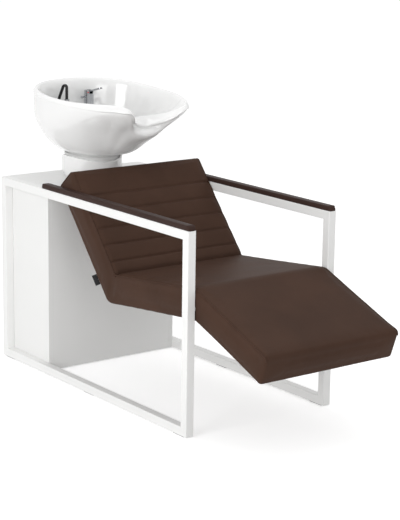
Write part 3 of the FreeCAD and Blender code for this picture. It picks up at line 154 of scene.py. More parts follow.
class Paint:
    """A node material with its shader and a few shorthands."""

    def __init__(self, name, color, roughness, metallic=0.0, **sockets):
        self.material = bpy.data.materials.new(name)
        self.material.use_nodes = True
        self.tree = self.material.node_tree
        self.shader = self.tree.nodes["Principled BSDF"]
        self.shader.inputs["Base Color"].default_value = (*color, 1)
        self.shader.inputs["Roughness"].default_value = roughness
        self.shader.inputs["Metallic"].default_value = metallic
        for key, value in sockets.items():
            self.shader.inputs[key.replace("_", " ")].default_value = value
        self.place = self.add("ShaderNodeTexCoord").outputs["Object"]

    def add(self, kind, **settings):
        node = self.tree.nodes.new(kind)
        for key, value in settings.items():
            setattr(node, key, value)
        return node

    def link(self, a, b):
        self.tree.links.new(a, b)

    def stretched(self, scale):
        mapping = self.add("ShaderNodeMapping")
        mapping.inputs["Scale"].default_value = scale
        self.link(self.place, mapping.inputs["Vector"])
        return mapping.outputs["Vector"]

    def noise(self, scale, detail=3.0, vector=None, distortion=0.0):
        node = self.add("ShaderNodeTexNoise")
        node.inputs["Scale"].default_value = scale
        node.inputs["Detail"].default_value = detail
        node.inputs["Distortion"].default_value = distortion
        self.link(vector or self.place, node.inputs["Vector"])
        return node.outputs["Fac"]

    def cells(self, scale):
        node = self.add("ShaderNodeTexVoronoi", feature="DISTANCE_TO_EDGE")
        node.inputs["Scale"].default_value = scale
        self.link(self.place, node.inputs["Vector"])
        return node.outputs["Distance"]

    def ramp(self, source, stops):
        node = self.add("ShaderNodeValToRGB")
        ramp = node.color_ramp
        while len(ramp.elements) < len(stops):
            ramp.elements.new(0.5)
        for element, (place, color) in zip(ramp.elements, stops):
            element.position = place
            element.color = (*color, 1)
        self.link(source, node.inputs["Fac"])
        return node.outputs["Color"]

    def color(self, source, stops):
        self.link(self.ramp(source, stops), self.shader.inputs["Base Color"])

    def rough(self, source, low, high):
        node = self.add("ShaderNodeMapRange")
        node.inputs["To Min"].default_value = low
        node.inputs["To Max"].default_value = high
        self.link(source, node.inputs["Value"])
        self.link(node.outputs["Result"], self.shader.inputs["Roughness"])

    def bump(self, *layers):
        """Layers of (height, strength, distance), the finest last."""
        last = None
        for height, strength, distance in layers:
            node = self.add("ShaderNodeBump")
            node.inputs["Strength"].default_value = strength
            node.inputs["Distance"].default_value = distance
            self.link(height, node.inputs["Height"])
            if last:
                self.link(last, node.inputs["Normal"])
            last = node.outputs["Normal"]
        self.link(last, self.shader.inputs["Normal"])


def shade(color, factor):
    return tuple(min(c * factor, 1) for c in color)


def leather(name, color, roughness):
    """Grained upholstery leather: fine cells, soft creases and a slow drift of tone."""
    paint = Paint(name, color, roughness, Specular_IOR_Level=0.05)
    drift = paint.noise(7.0, 4.0)
    paint.color(drift, ((0.3, shade(color, 0.9)), (0.7, shade(color, 1.12))))
    grain = paint.cells(620.0)
    pores = paint.noise(1700.0, 2.0)
    creases = paint.noise(38.0, 5.0, distortion=0.4)
    paint.rough(drift, roughness - 0.05, roughness + 0.06)
    paint.bump((creases, 0.12, 0.0015), (grain, 0.3, 0.0004), (pores, 0.15, 0.0001))
    return paint.material


def enamel(name, color, roughness, peel=0.03):
    """Powder coat: a very fine orange peel and slightly uneven gloss."""
    paint = Paint(name, color, roughness, Coat_Weight=0.15, Coat_Roughness=0.25)
    drift = paint.noise(5.0, 3.0)
    paint.color(drift, ((0.35, shade(color, 0.985)), (0.7, color)))
    paint.rough(paint.noise(60.0), roughness - 0.04, roughness + 0.05)
    paint.bump((paint.noise(420.0, 2.0), peel, 0.0004))
    return paint.material


def glaze(name, color):
    """White vitreous glaze: glossy, with slow waves where it ran thick."""
    paint = Paint(name, color, 0.09, Coat_Weight=0.5, Coat_Roughness=0.04)
    drift = paint.noise(4.0, 2.0)
    paint.color(drift, ((0.3, shade(color, 0.985)), (0.7, color)))
    paint.rough(paint.noise(24.0), 0.07, 0.13)
    waves = paint.noise(14.0, 2.0)
    pinholes = paint.noise(900.0, 2.0)
    paint.bump((waves, 0.05, 0.002), (pinholes, 0.015, 0.0001))
    return paint.material


def metal(name, color, roughness, brushed=0.0, stretch=(1, 1, 1)):
    """Bare or plated metal; brushed metal has fine streaks, drawn out by the stretch."""
    paint = Paint(name, color, roughness, metallic=1.0)
    paint.rough(paint.noise(90.0), max(roughness - 0.03, 0.02), roughness + 0.04)
    if brushed:
        streaks = paint.noise(180.0, 3.0, paint.stretched(stretch))
        paint.bump((streaks, brushed, 0.0002))
    else:
        paint.bump((paint.noise(25.0), 0.02, 0.0005))
    return paint.material


def moulded(name, color, roughness, texture=0.06):
    """Moulded plastic or rubber with a fine texture."""
    paint = Paint(name, color, roughness)
    drift = paint.noise(12.0)
    paint.color(drift, ((0.35, shade(color, 0.93)), (0.7, shade(color, 1.05))))
    paint.rough(paint.noise(150.0), roughness - 0.04, roughness + 0.06)
    paint.bump((paint.noise(1200.0, 2.0), texture, 0.0002))
    return paint.material


def plywood(name):
    paint = Paint(name, (0.48, 0.33, 0.19), 0.6)
    grain = paint.noise(9.0, 6.0, paint.stretched((1, 14, 14)), 1.2)
    paint.color(grain, ((0.3, (0.36, 0.23, 0.12)), (0.7, (0.55, 0.39, 0.23))))
    paint.bump((grain, 0.1, 0.0005))
    return paint.material


def woven(name, color):
    """Coarse woven tape: two crossed sets of threads."""
    paint = Paint(name, color, 0.85, Sheen_Weight=0.2)
    across = paint.add("ShaderNodeTexWave", wave_type="BANDS", bands_direction="X")
    upward = paint.add("ShaderNodeTexWave", wave_type="BANDS", bands_direction="Z")
    for wave in (across, upward):
        wave.inputs["Scale"].default_value = 320.0
        paint.link(paint.place, wave.inputs["Vector"])
    both = paint.add("ShaderNodeMath", operation="MULTIPLY")
    paint.link(across.outputs["Fac"], both.inputs[0])
    paint.link(upward.outputs["Fac"], both.inputs[1])
    paint.color(both.outputs["Value"], ((0.0, shade(color, 0.5)), (1.0, shade(color, 1.6))))
    paint.bump((both.outputs["Value"], 0.5, 0.0003))
    return paint.material


BROWN = (0.061, 0.0330, 0.0228)
PAD_BROWN = (0.046, 0.027, 0.0225)
LOOKS = {
    "white_enamel": enamel("white_enamel", (0.86, 0.86, 0.85), 0.34),
    "brown_leather": leather("brown_leather", BROWN, 0.52),
    "pad_leather": leather("pad_leather", PAD_BROWN, 0.42),
    "plywood": plywood("plywood"),
    "white_laminate": enamel("white_laminate", (0.84, 0.84, 0.83), 0.42, 0.05),
    "zinc_steel": metal("zinc_steel", (0.55, 0.56, 0.58), 0.35, 0.15, (1, 1, 12)),
    "chrome": metal("chrome", (0.44, 0.45, 0.47), 0.06),
    "glazed_ceramic": glaze("glazed_ceramic", (0.87, 0.87, 0.865)),
    "black_gloss": moulded("black_gloss", (0.012, 0.012, 0.013), 0.12, 0.01),
    "black_rubber": moulded("black_rubber", (0.02, 0.02, 0.02), 0.6, 0.2),
    "grey_plastic": moulded("grey_plastic", (0.25, 0.25, 0.25), 0.5),
    "black_fabric": woven("black_fabric", (0.016, 0.016, 0.017)),
    "white_plastic": moulded("white_plastic", (0.8, 0.8, 0.78), 0.3, 0.03),
    "brown_catch": moulded("brown_catch", (0.12, 0.07, 0.04), 0.5),
    "plain_brass": metal("plain_brass", (0.65, 0.47, 0.2), 0.25, 0.08, (1, 1, 10)),
}
slot_of = {row["node"]: row["material_slot"] for row in frame["record"]["subparts"]}


def dress(obj, slot):
    obj.data.materials.clear()
    obj.data.materials.append(LOOKS[slot])


for name, obj in nodes.items():
    dress(obj, slot_of[name])
    obj.data.polygons.foreach_set("material_index", [0] * len(obj.data.polygons))


def piece(name, verts, faces, body, slot):
    obj = new_piece(name, verts, faces, body)
    dress(obj, slot)
    return obj


def soften(node, width, angle=40):
    """Rounds a carried-over node's sharp edges with modifiers alone."""
    obj = nodes[node]
    obj.modifiers.new("weld", "WELD").merge_threshold = 0.00002
    bevel = obj.modifiers.new("edges", "BEVEL")
    bevel.width = width * MM
    bevel.segments = 2
    bevel.limit_method = "ANGLE"
    bevel.angle_limit = math.radians(angle)
    bevel.harden_normals = True


# Side frames: each a closed loop of square tube with rounded long edges and mitred corners

TUBE_HALF = 15.0
TUBE_EDGE = 2.0
FRAME_HALF_WIDTH = 302
GLIDE_HEIGHT = 3
TUBE_X = FRAME_HALF_WIDTH - TUBE_HALF


def frame_loop(side):
    """One side frame: a rounded square ring set in the four corners and joined round."""
    flat = TUBE_HALF - TUBE_EDGE
    ring = []
    for cx, ca, start in ((1, 1, 0), (-1, 1, 90), (-1, -1, 180), (1, -1, 270)):
        for k in range(4):
            angle = math.radians(start + 30 * k)
            ring.append((
                cx * flat + TUBE_EDGE * math.cos(angle),
                ca * flat + TUBE_EDGE * math.sin(angle),
            ))
    low = GLIDE_HEIGHT + TUBE_HALF
    high = RAIL_TOP - TUBE_HALF
    corners = (
        (FRONT + TUBE_HALF, low, -1, -1),
        (REAR - TUBE_HALF, low, 1, -1),
        (REAR - TUBE_HALF, high, 1, 1),
        (FRONT + TUBE_HALF, high, -1, 1),
    )
    verts = []
    for y, z, out_y, out_z in corners:
        for x, a in ring:
            verts.append(Vector((side * TUBE_X + x, y + out_y * a, z + out_z * a)) * MM)
    count = len(ring)
    faces = []
    for i in range(4):
        for k in range(count):
            n = (k + 1) % count
            j = (i + 1) % 4
            faces.append((i * count + k, i * count + n, j * count + n, j * count + k))
    name = "left" if side < 0 else "right"
    loop = piece(name + "_frame_loop", verts, faces, "base", "white_enamel")
    bevel = loop.modifiers.new("corners", "BEVEL")
    bevel.width = 1.2 * MM
    bevel.segments = 2
    bevel.limit_method = "ANGLE"
    bevel.angle_limit = math.radians(60)
    apply_modifiers(loop)
    loop.modifiers.new("normals", "WEIGHTED_NORMAL").keep_sharp = True
    bars = ("_front_post", "_arm_rail", "_rear_post", "_base_rail")
    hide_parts(*[name + bar for bar in bars])


frame_loop(-1)
frame_loop(1)
for board in ("left_side", "right_side", "front", "top", "shelf"):
    soften("cabinet_" + board, 0.8)
soften("rear_door", 1.2)
soften("floor_glides", 0.8)


# Chaise: one stuffed and sewn skin over the three sections

# Its side view, in degrees and millimetres: slopes of the tops, reaches along them and depths
# square to them
LEG_SLOPE = 21.4
SEAT_SLOPE = -6.0
BACK_SLOPE = 50.0
LEG_REACH = 353
SEAT_LENGTH = 447
BACK_LENGTH = 412
KNEE_SETBACK = 5
KNEE_Z = 487.5
TOE_SETBACK = 30
TOE_Z = 249.5
LEG_DEPTH = 101
SEAT_DEPTH = 106
BACK_FOOT_DEPTH = 110
BACK_TOP_DEPTH = 112
NOSE_ROUND = 16
NOSE_FALL = 1.5

leg_way = way(LEG_SLOPE)
seat_way = way(SEAT_SLOPE)
back_way = way(BACK_SLOPE)
knee_top = Vector((FRONT + KNEE_SETBACK, KNEE_Z))
crook = knee_top + seat_way * SEAT_LENGTH
back_top = crook + back_way * BACK_LENGTH
back_top_rear = back_top + down_of(back_way) * BACK_TOP_DEPTH
back_foot_rear = crook + down_of(back_way) * BACK_FOOT_DEPTH
rear_way = (back_top_rear - back_foot_rear).normalized()
seat_under = knee_top + down_of(seat_way) * SEAT_DEPTH
leg_under = knee_top + down_of(leg_way) * LEG_DEPTH
knee_bottom = crossing(seat_under, seat_way, leg_under, leg_way)
heel = crossing(seat_under, seat_way, back_foot_rear, rear_way)
nose_line = knee_top + down_of(leg_way) * NOSE_ROUND
nose_end = Vector((FRONT - LEG_REACH + NOSE_ROUND, 0))
nose_centre = crossing(nose_line, leg_way, nose_end, Vector((0, 1)))
nose_front = nose_centre + Vector((-NOSE_ROUND, -NOSE_FALL))
toe = Vector((FRONT - LEG_REACH + TOE_SETBACK, TOE_Z))
nose_corner = crossing(knee_top, leg_way, toe, (nose_front - toe).normalized())

# Corners of the side view with their radii, clockwise from the leg's end
CHAISE_CORNERS = (
    (nose_corner, 16),
    (knee_top, 60),
    (crook, 0),
    (back_top, 16),
    (back_top_rear, 22),
    (heel, 42),
    (knee_bottom, 12),
    (toe, 8),
)
FOAM_STEP = 8.0
ARC_STEP_SHARE = 0.6
EDGE_ROUND = 10.0
EDGE_STEPS = 4
CLOTH_FRAMES = 20
SWELL_SHARE = 0.6


def rounded_outline(corners, step):
    """Evenly spaced points round the corners, each rounded by its own radius."""
    points = []
    count = len(corners)
    runs = []
    for i in range(count):
        corner, radius = corners[i]
        a = (corners[i - 1][0] - corner).normalized()
        b = (corners[(i + 1) % count][0] - corner).normalized()
        if radius <= 0:
            runs.append([corner])
            continue
        half = math.acos(max(-1, min(1, a.dot(b)))) / 2
        reach = radius / math.tan(half)
        centre = corner + (a + b).normalized() * (radius / math.sin(half))
        start = corner + a * reach
        stop = corner + b * reach
        turn = math.pi - 2 * half
        steps = max(3, int(turn * radius / (step * ARC_STEP_SHARE)))
        arc = []
        for k in range(steps + 1):
            share = k / steps
            p = start.lerp(stop, share) - centre
            arc.append(centre + p.normalized() * radius)
        runs.append(arc)
    for i in range(count):
        points += runs[i]
        gap = runs[(i + 1) % count][0] - runs[i][-1]
        extra = int(gap.length / step)
        for k in range(1, extra + 1):
            points.append(runs[i][-1] + gap * (k / (extra + 1)))
    return points


def chaise_block():
    """The chaise's closed block: the outline pushed across X, rounded towards its sides."""
    outline = rounded_outline(CHAISE_CORNERS, FOAM_STEP)
    count = len(outline)
    inward = []
    for i in range(count):
        tangent = (outline[(i + 1) % count] - outline[i - 1]).normalized()
        inward.append(Vector((tangent.y, -tangent.x)))
    rows = []
    for k in range(EDGE_STEPS + 1):
        angle = math.pi / 2 * k / EDGE_STEPS
        x = -HALF_CHAISE + EDGE_ROUND * (1 - math.cos(angle))
        rows.append((x, EDGE_ROUND * (1 - math.sin(angle))))
    span = 2 * (HALF_CHAISE - EDGE_ROUND)
    inner = int(span / FOAM_STEP)
    for k in range(1, inner):
        rows.append((-HALF_CHAISE + EDGE_ROUND + span * k / inner, 0.0))
    rows += [(-x, draw) for x, draw in rows[EDGE_STEPS::-1]]
    verts = []
    for x, draw in rows:
        for p, n in zip(outline, inward):
            q = p + n * draw
            verts.append(Vector((x, q.x, q.y)) * MM)
    faces = []
    for r in range(len(rows) - 1):
        for i in range(count):
            j = (i + 1) % count
            here, there = r * count, (r + 1) * count
            faces.append((here + i, here + j, there + j, there + i))
    faces.append(tuple(range(count))[::-1])
    faces.append(tuple((len(rows) - 1) * count + i for i in range(count)))
    return verts, faces


def stuffed(obj, voxel, pressure, cap):
    """Fills a block like a cushion: even quads, then a short cloth run under pressure.

    Each point takes a share of its way in the cloth run, and swells by the cap at most.
    """
    remesh = obj.modifiers.new("remesh", "REMESH")
    remesh.mode = "VOXEL"
    remesh.voxel_size = voxel
    apply_modifiers(obj)
    rest = [v.co.copy() for v in obj.data.vertices]
    cloth = obj.modifiers.new("cloth", "CLOTH")
    settings = cloth.settings
    settings.quality = 3
    settings.mass = 0.4
    settings.tension_stiffness = 18
    settings.compression_stiffness = 18
    settings.shear_stiffness = 8
    settings.bending_stiffness = 2.0
    settings.use_pressure = True
    settings.uniform_pressure_force = pressure
    settings.effector_weights.gravity = 0
    cloth.collision_settings.use_collision = False
    cloth.point_cache.frame_start = 1
    cloth.point_cache.frame_end = CLOTH_FRAMES
    scene = bpy.context.scene
    for f in range(1, CLOTH_FRAMES + 1):
        scene.frame_set(f)
    graph = bpy.context.evaluated_depsgraph_get()
    moved = obj.evaluated_get(graph).to_mesh()
    places = [v.co.copy() for v in moved.vertices]
    obj.evaluated_get(graph).to_mesh_clear()
    obj.modifiers.clear()
    scene.frame_set(1)
    for v, a, b in zip(obj.data.vertices, rest, places):
        step = (b - a) * SWELL_SHARE
        if step.length > cap:
            step = step.normalized() * cap
        v.co = a + step
    obj.data.update()


verts, faces = chaise_block()
chaise = piece("chaise_upholstery", verts, faces, "base", "brown_leather")
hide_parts("leg_cushion", "seat_cushion", "back_cushion")
stuffed(chaise, voxel=6 * MM, pressure=4.0, cap=3 * MM)

SEAM_COUNT = 5
SEAM_SPACING = 64
SEAM_BELOW_TOP = 109
SEAM_WIDTH = 4.2
SEAM_DEPTH = 3.6
PUFF = 2.4
CREASE_DEPTH = 15.0
CREASE_WIDTH = 7.0
CREASE_REACH = 40


def finish_chaise(obj):
    """Sewn lines across the back, the crease at its foot and slow unevenness of the foam."""
    subdivision = obj.modifiers.new("finer", "SUBSURF")
    subdivision.levels = 1
    subdivision.render_levels = 1
    apply_modifiers(obj)
    back_down = down_of(back_way)
    seat_down = down_of(seat_way)
    lines = [BACK_LENGTH - SEAM_BELOW_TOP - SEAM_SPACING * k for k in range(SEAM_COUNT)]
    into_crease = (back_down + seat_down).normalized()
    for v in obj.data.vertices:
        x, y, z = v.co / MM
        rel = Vector((y, z)) - crook
        s = rel.dot(back_way)
        depth = rel.dot(back_down)
        edge = smooth_step(HALF_CHAISE + 2, HALF_CHAISE - 14, abs(x))
        shift = Vector((0, 0))
        top = smooth_step(30, 8, abs(depth)) if s > 0 else 0
        if top and s < BACK_LENGTH - 4:
            wander = 1.4 * noise.noise(Vector((x * 0.012, s * 0.004, 3.1)))
            line = sum(bell(s - at - wander, SEAM_WIDTH) for at in lines)
            puff = 0.0
            for a, b in zip([BACK_LENGTH] + lines, lines + [0]):
                if b < s <= a:
                    puff = math.sin(math.pi * (s - b) / (a - b)) ** 0.7
            pucker = 1 + 0.35 * noise.noise(Vector((x * 0.05, s * 0.02, 7.7)))
            press = SEAM_DEPTH * line * pucker - PUFF * puff
            shift += back_down * press * top * (0.25 + 0.75 * edge)
        away = math.hypot(rel.x, rel.y)
        if away < CREASE_REACH:
            press = CREASE_DEPTH * bell(away, CREASE_WIDTH)
            shift += into_crease * press * (0.15 + 0.85 * edge)
        spot = Vector((x, y, z))
        soft = noise.noise(spot * 0.011) * 0.9 + noise.noise(spot * 0.03) * 0.35
        shift += Vector((0, soft * 0.5))
        v.co.y += shift.x * MM
        v.co.z += shift.y * MM
    obj.data.update()


finish_chaise(chaise)


# Welts along both top edges of the chaise


def surface_tree(obj):
    bpy.context.view_layer.update()
    places = [v.co.copy() for v in obj.data.vertices]
    return BVHTree.FromPolygons(places, [tuple(p.vertices) for p in obj.data.polygons])


chaise_tree = surface_tree(chaise)


def edge_line(inset):
    """Points along the chaise's long top edge, from the nose to the back's top."""
    outline = rounded_outline(CHAISE_CORNERS, 6.0)
    last = min(range(len(outline)), key=lambda i: (outline[i] - back_top_rear).length)
    points = []
    for i in range(0, last):
        tangent = (outline[i + 1] - outline[i - 1]).normalized()
        inward = Vector((tangent.y, -tangent.x))
        p = outline[i] + inward * inset
        points.append((p.x, p.y))
    return points


def laid_line(name, side, inset, radius, proud):
    """A welt laid on the chaise's skin along its top edge, the same inset on both faces."""
    line = []
    for y, z in edge_line(inset):
        target = Vector((side * (HALF_CHAISE - inset), y, z)) * MM
        place, normal, _, _ = chaise_tree.find_nearest(target)
        line.append(place + normal * (proud * MM))
    evened = [(a + b * 2 + c) / 4 for a, b, c in zip(line, line[1:], line[2:])]
    welt = tube(name, line[:1] + evened + line[-1:], radius * MM, "base")
    dress(welt, "brown_leather")


for side, label in ((-1, "left"), (1, "right")):
    laid_line(label + "_edge_welt", side, inset=2.5, radius=2.2, proud=1.0)


# Arm pads: a stuffed strip with a welt along each top edge

PAD_HEIGHT = 17.0
PAD_HALF = 14.5
PAD_SPANS = 120
PAD_ARC_STEPS = 24
PAD_SIDE = 4
PAD_END_ROUND = 9.0
WELT_END_GAP = 5


def arm_pad(side):
    """One arm pad: a rounded profile along the rail, lower and narrower at its ends."""
    low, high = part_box("left_arm_pad")
    y0, y1 = low.y / MM, high.y / MM
    profile = []
    for k in range(PAD_ARC_STEPS + 1):
        angle = math.pi * k / PAD_ARC_STEPS
        c, s = math.cos(angle), math.sin(angle)
        across = PAD_HALF * math.copysign(abs(c) ** 0.32, c)
        profile.append((across, PAD_SIDE + (PAD_HEIGHT - PAD_SIDE) * abs(s) ** 0.3))
    foot = [(PAD_HALF - 2.2, 0.0), (PAD_HALF - 0.6, 2.0)]
    profile = foot + profile + [(-x, z) for x, z in foot[::-1]]
    verts = []
    for i in range(PAD_SPANS + 1):
        y = y0 + (y1 - y0) * (i / PAD_SPANS)
        near = min(y - y0, y1 - y)
        end = math.sqrt(max(0.0, 1 - (1 - min(near / PAD_END_ROUND, 1)) ** 2))
        rise = 0.45 + 0.55 * end
        width = 0.8 + 0.2 * end
        slow = 1 + 0.012 * noise.noise(Vector((0, y * 0.01, side)))
        for across, up in profile:
            x = side * TUBE_X + across * width * slow
            verts.append(Vector((x, y, RAIL_TOP + up * rise)) * MM)
    ring = len(profile)
    faces = []
    for i in range(PAD_SPANS):
        for k in range(ring):
            n = (k + 1) % ring
            faces.append((i * ring + k, i * ring + n, (i + 1) * ring + n, (i + 1) * ring + k))
    faces.append(tuple(range(ring))[::-1])
    faces.append(tuple(PAD_SPANS * ring + k for k in range(ring)))
    name = "left" if side < 0 else "right"
    pad = piece(name + "_pad_cover", verts, faces, "base", "pad_leather")
    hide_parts(name + "_arm_pad")
    tree = surface_tree(pad)
    for edge in (-1, 1):
        line = []
        x = side * TUBE_X + edge * (PAD_HALF - 1.0)
        for i in range(PAD_SPANS + 1):
            y = y0 + WELT_END_GAP + (y1 - y0 - 2 * WELT_END_GAP) * i / PAD_SPANS
            target = Vector((x, y, RAIL_TOP + PAD_HEIGHT - 2.2)) * MM
            place, normal, _, _ = tree.find_nearest(target)
            line.append(place + normal * (0.2 * MM))
        outer = "outer" if edge * side > 0 else "inner"
        welt = tube("%s_pad_%s_welt" % (name, outer), line, 1.1 * MM, "base", sides=6)
        dress(welt, "pad_leather")


arm_pad(-1)
arm_pad(1)


# Tag: a plain folded flap with a stitched border

TAG_LENGTH = 39.0
TAG_WIDTH = 17.0
TAG_COLS = 12
TAG_ROWS = 8
TAG_ASIDE = 13.8
TAG_OUT = 9.1
TAG_HALF_THICK = 0.6


def tag():
    """A slightly curled flap that stands off the back's rear edge, outwards and to the left."""
    cad = nodes["rear_tag"].data.vertices
    centre = sum((v.co for v in cad), Vector()) / len(cad)
    out_way = down_of(rear_way)
    along = Vector((0, rear_way.x, rear_way.y))
    reach = Vector((-TAG_ASIDE, out_way.x * TAG_OUT, out_way.y * TAG_OUT)).normalized()
    normal = along.cross(reach).normalized()
    verts = []
    for sheet in (-1, 1):
        for r in range(TAG_ROWS + 1):
            for c in range(TAG_COLS + 1):
                u = c / TAG_COLS - 0.5
                w = r / TAG_ROWS - 0.5
                curl = 0.9 * math.sin(math.pi * (w + 0.5)) + 0.4 * u
                border = 0.25 if 0.38 < max(abs(u), abs(w)) < 0.45 else 0.0
                level = curl * 0.6 + sheet * (TAG_HALF_THICK - border)
                place = along * (u * TAG_LENGTH) + reach * (w * TAG_WIDTH) + normal * level
                verts.append(centre + place * MM)
    faces = []
    across = TAG_COLS + 1
    layer = (TAG_ROWS + 1) * across
    for sheet in (0, 1):
        for r in range(TAG_ROWS):
            for c in range(TAG_COLS):
                a = sheet * layer + r * across + c
                faces.append((a, a + 1, a + across + 1, a + across))
    rim = list(range(across))
    rim += [(r + 1) * across + TAG_COLS for r in range(TAG_ROWS)]
    rim += [TAG_ROWS * across + c for c in range(TAG_COLS - 1, -1, -1)]
    rim += [r * across for r in range(TAG_ROWS - 1, 0, -1)]
    for a, b in zip(rim, rim[1:] + rim[:1]):
        faces.append((a, b, b + layer, a + layer))
    flap = piece("rear_tag_flap", verts, faces, "base", "black_fabric")
    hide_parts("rear_tag")


tag()


# Basin: the glazed shell on the same net as the solid, with the rolled lip of the photograph

# The net lies a little outside the surface that its subdivision gives
NET_GROWTH = 1.012
AROUND_QUARTER = 12
BOWL_HALF = 242 * NET_GROWTH
BOWL_FRONT = 412 * NET_GROWTH
BOWL_REAR = 276
EGG_FRONT = 290
REAR_POWER = 2 / 2.6
SIDE_LINE = -120
RIM_Z = 977
ROLL_Z = 12
REAR_ROLL = (12, 0, 0)
FOOT_R = 101
DRAIN_R = 34

# The front half of the rim, one column per station: from the side over the wing's tip to the
# neck's middle. X and Y are shares of the bowl's half width and of its reach; the rest is in mm
FRONT_X = (
    0.979, 0.926, 0.847, 0.773, 0.69, 0.607, 0.537, 0.467, 0.405, 0.355, 0.298, 0.215, 0.112, 0
)
FRONT_Y = (
    0.43, 0.561, 0.667, 0.76, 0.837, 0.917, 0.978, 1, 0.978, 0.917, 0.837, 0.765, 0.726, 0.716
)
LIP_DROPS = (0, 0, 0, 0, 0, 0, 9, 15, 25, 42, 59, 70, 75, 77)
LIP_LIFTS = (0, 0, 0, 0, 0, 0, 0, 1, 4, 9, 13, 15, 16, 16)
ROLL_DEPTHS = (12, 14, 18, 21, 22, 22, 18, 12, 22, 32, 31, 29, 28, 28)
TUCKS = (0, 1, 2, 3, 4, 5, 7, 10, 10, 8, 6, 5, 5, 5)
LEANS = (0, 0, 0, 0, 1, 2, 4, 5, 4, 10, 24, 39, 47, 49)
WING_STATIONS = (18, 19, 20, 21)
WING_INSET = 14
LIP_INSET = 23

# Shares of the way up, and of the way out at that height, for the outside and for the well
BODY_HEIGHTS = (0.03, 0.1, 0.17, 0.24, 0.33, 0.42, 0.53, 0.63, 0.76, 1)
BODY_REAR = (0.06, 0.29, 0.45, 0.58, 0.71, 0.81, 0.925, 0.98, 1, 1)
BODY_FRONT = (0.15, 0.307, 0.39, 0.457, 0.53, 0.604, 0.69, 0.775, 0.89, 1)
WELL_HEIGHTS = (0, 0.03, 0.1, 0.25, 0.35, 0.45, 0.6, 0.72, 0.85, 1)
WELL_WIDTHS = (0.1, 0.3, 0.52, 0.72, 0.8, 0.86, 0.92, 0.95, 0.975, 1)
WELL_FRONT = (0.1, 0.28, 0.46, 0.62, 0.69, 0.74, 0.81, 0.88, 0.94, 1)
FOOT_Z = 725
BODY_Z = 755
FLOOR_Z = 786
DECK_Z = 908
DECK_EDGE_DROP = 3
DECK_ROWS = {
    0.72: (129, DECK_Z),
    0.66: (106, DECK_Z),
    0.6: (94.5, DECK_Z),
    0.53: (83, DECK_Z),
    0.45: (60, DECK_Z - DECK_EDGE_DROP),
}
APRON = {0.35: (1.04, 0.98), 0.25: (1, 0.93), 0.1: (0.92, 0.75), 0.03: (0.84, 0.5)}
APRON_Y = 50


def between(keys, values, key):
    """The value at a key, along straight runs between the table's entries."""
    for i in range(1, len(keys)):
        if key <= keys[i] or i == len(keys) - 1:
            share = min((key - keys[i - 1]) / (keys[i] - keys[i - 1]), 1)
            return values[i - 1] + (values[i] - values[i - 1]) * share


def bowl_stations():
    """Half of the rim, from the rear middle to the front middle.

    Each row is x, y, crest, the egg's y, and the roll's depth, tuck and lean.
    """
    rows = []
    for i in range(AROUND_QUARTER + 1):
        angle = math.pi / 2 * i / AROUND_QUARTER
        x = BOWL_HALF * math.sin(angle) ** REAR_POWER
        y = BOWL_REAR * max(math.cos(angle), 0) ** REAR_POWER + SIDE_LINE
        rows.append((x, y, rim_crest(y), y, *REAR_ROLL))
    tables = (FRONT_X, FRONT_Y, LIP_DROPS, LIP_LIFTS, ROLL_DEPTHS, TUCKS, LEANS)
    for xs, ys, drop, lift, *roll in zip(*tables):
        y = -BOWL_FRONT * ys
        crest = RIM_Z - drop + lift if drop else rim_crest(y)
        egg = SIDE_LINE - EGG_FRONT * math.sqrt(1 - xs * xs)
        rows.append((BOWL_HALF * xs, y, crest, egg, *roll))
    return rows


def rim_crest(y):
    """Height of the rim's crest, rising in a curve towards the rear."""
    t = (y + 130) / 300
    return RIM_Z + 15.2 * t + 16.3 * t * t


def all_round(half):
    """Half-stations with their mirror images, all the way round."""
    return half + [(-x, y, z) for x, y, z in half[-2:0:-1]]


def moved_out(half, distances):
    """Half-stations moved square to their outline in the level plane."""
    ring = all_round(half)
    out = []
    for i, (x, y, z) in enumerate(half):
        a = ring[i - 1]
        b = ring[(i + 1) % len(ring)]
        across, along = b[0] - a[0], b[1] - a[1]
        step = distances[i] / math.hypot(across, along)
        out.append((x - along * step, y + across * step, z))
    return out


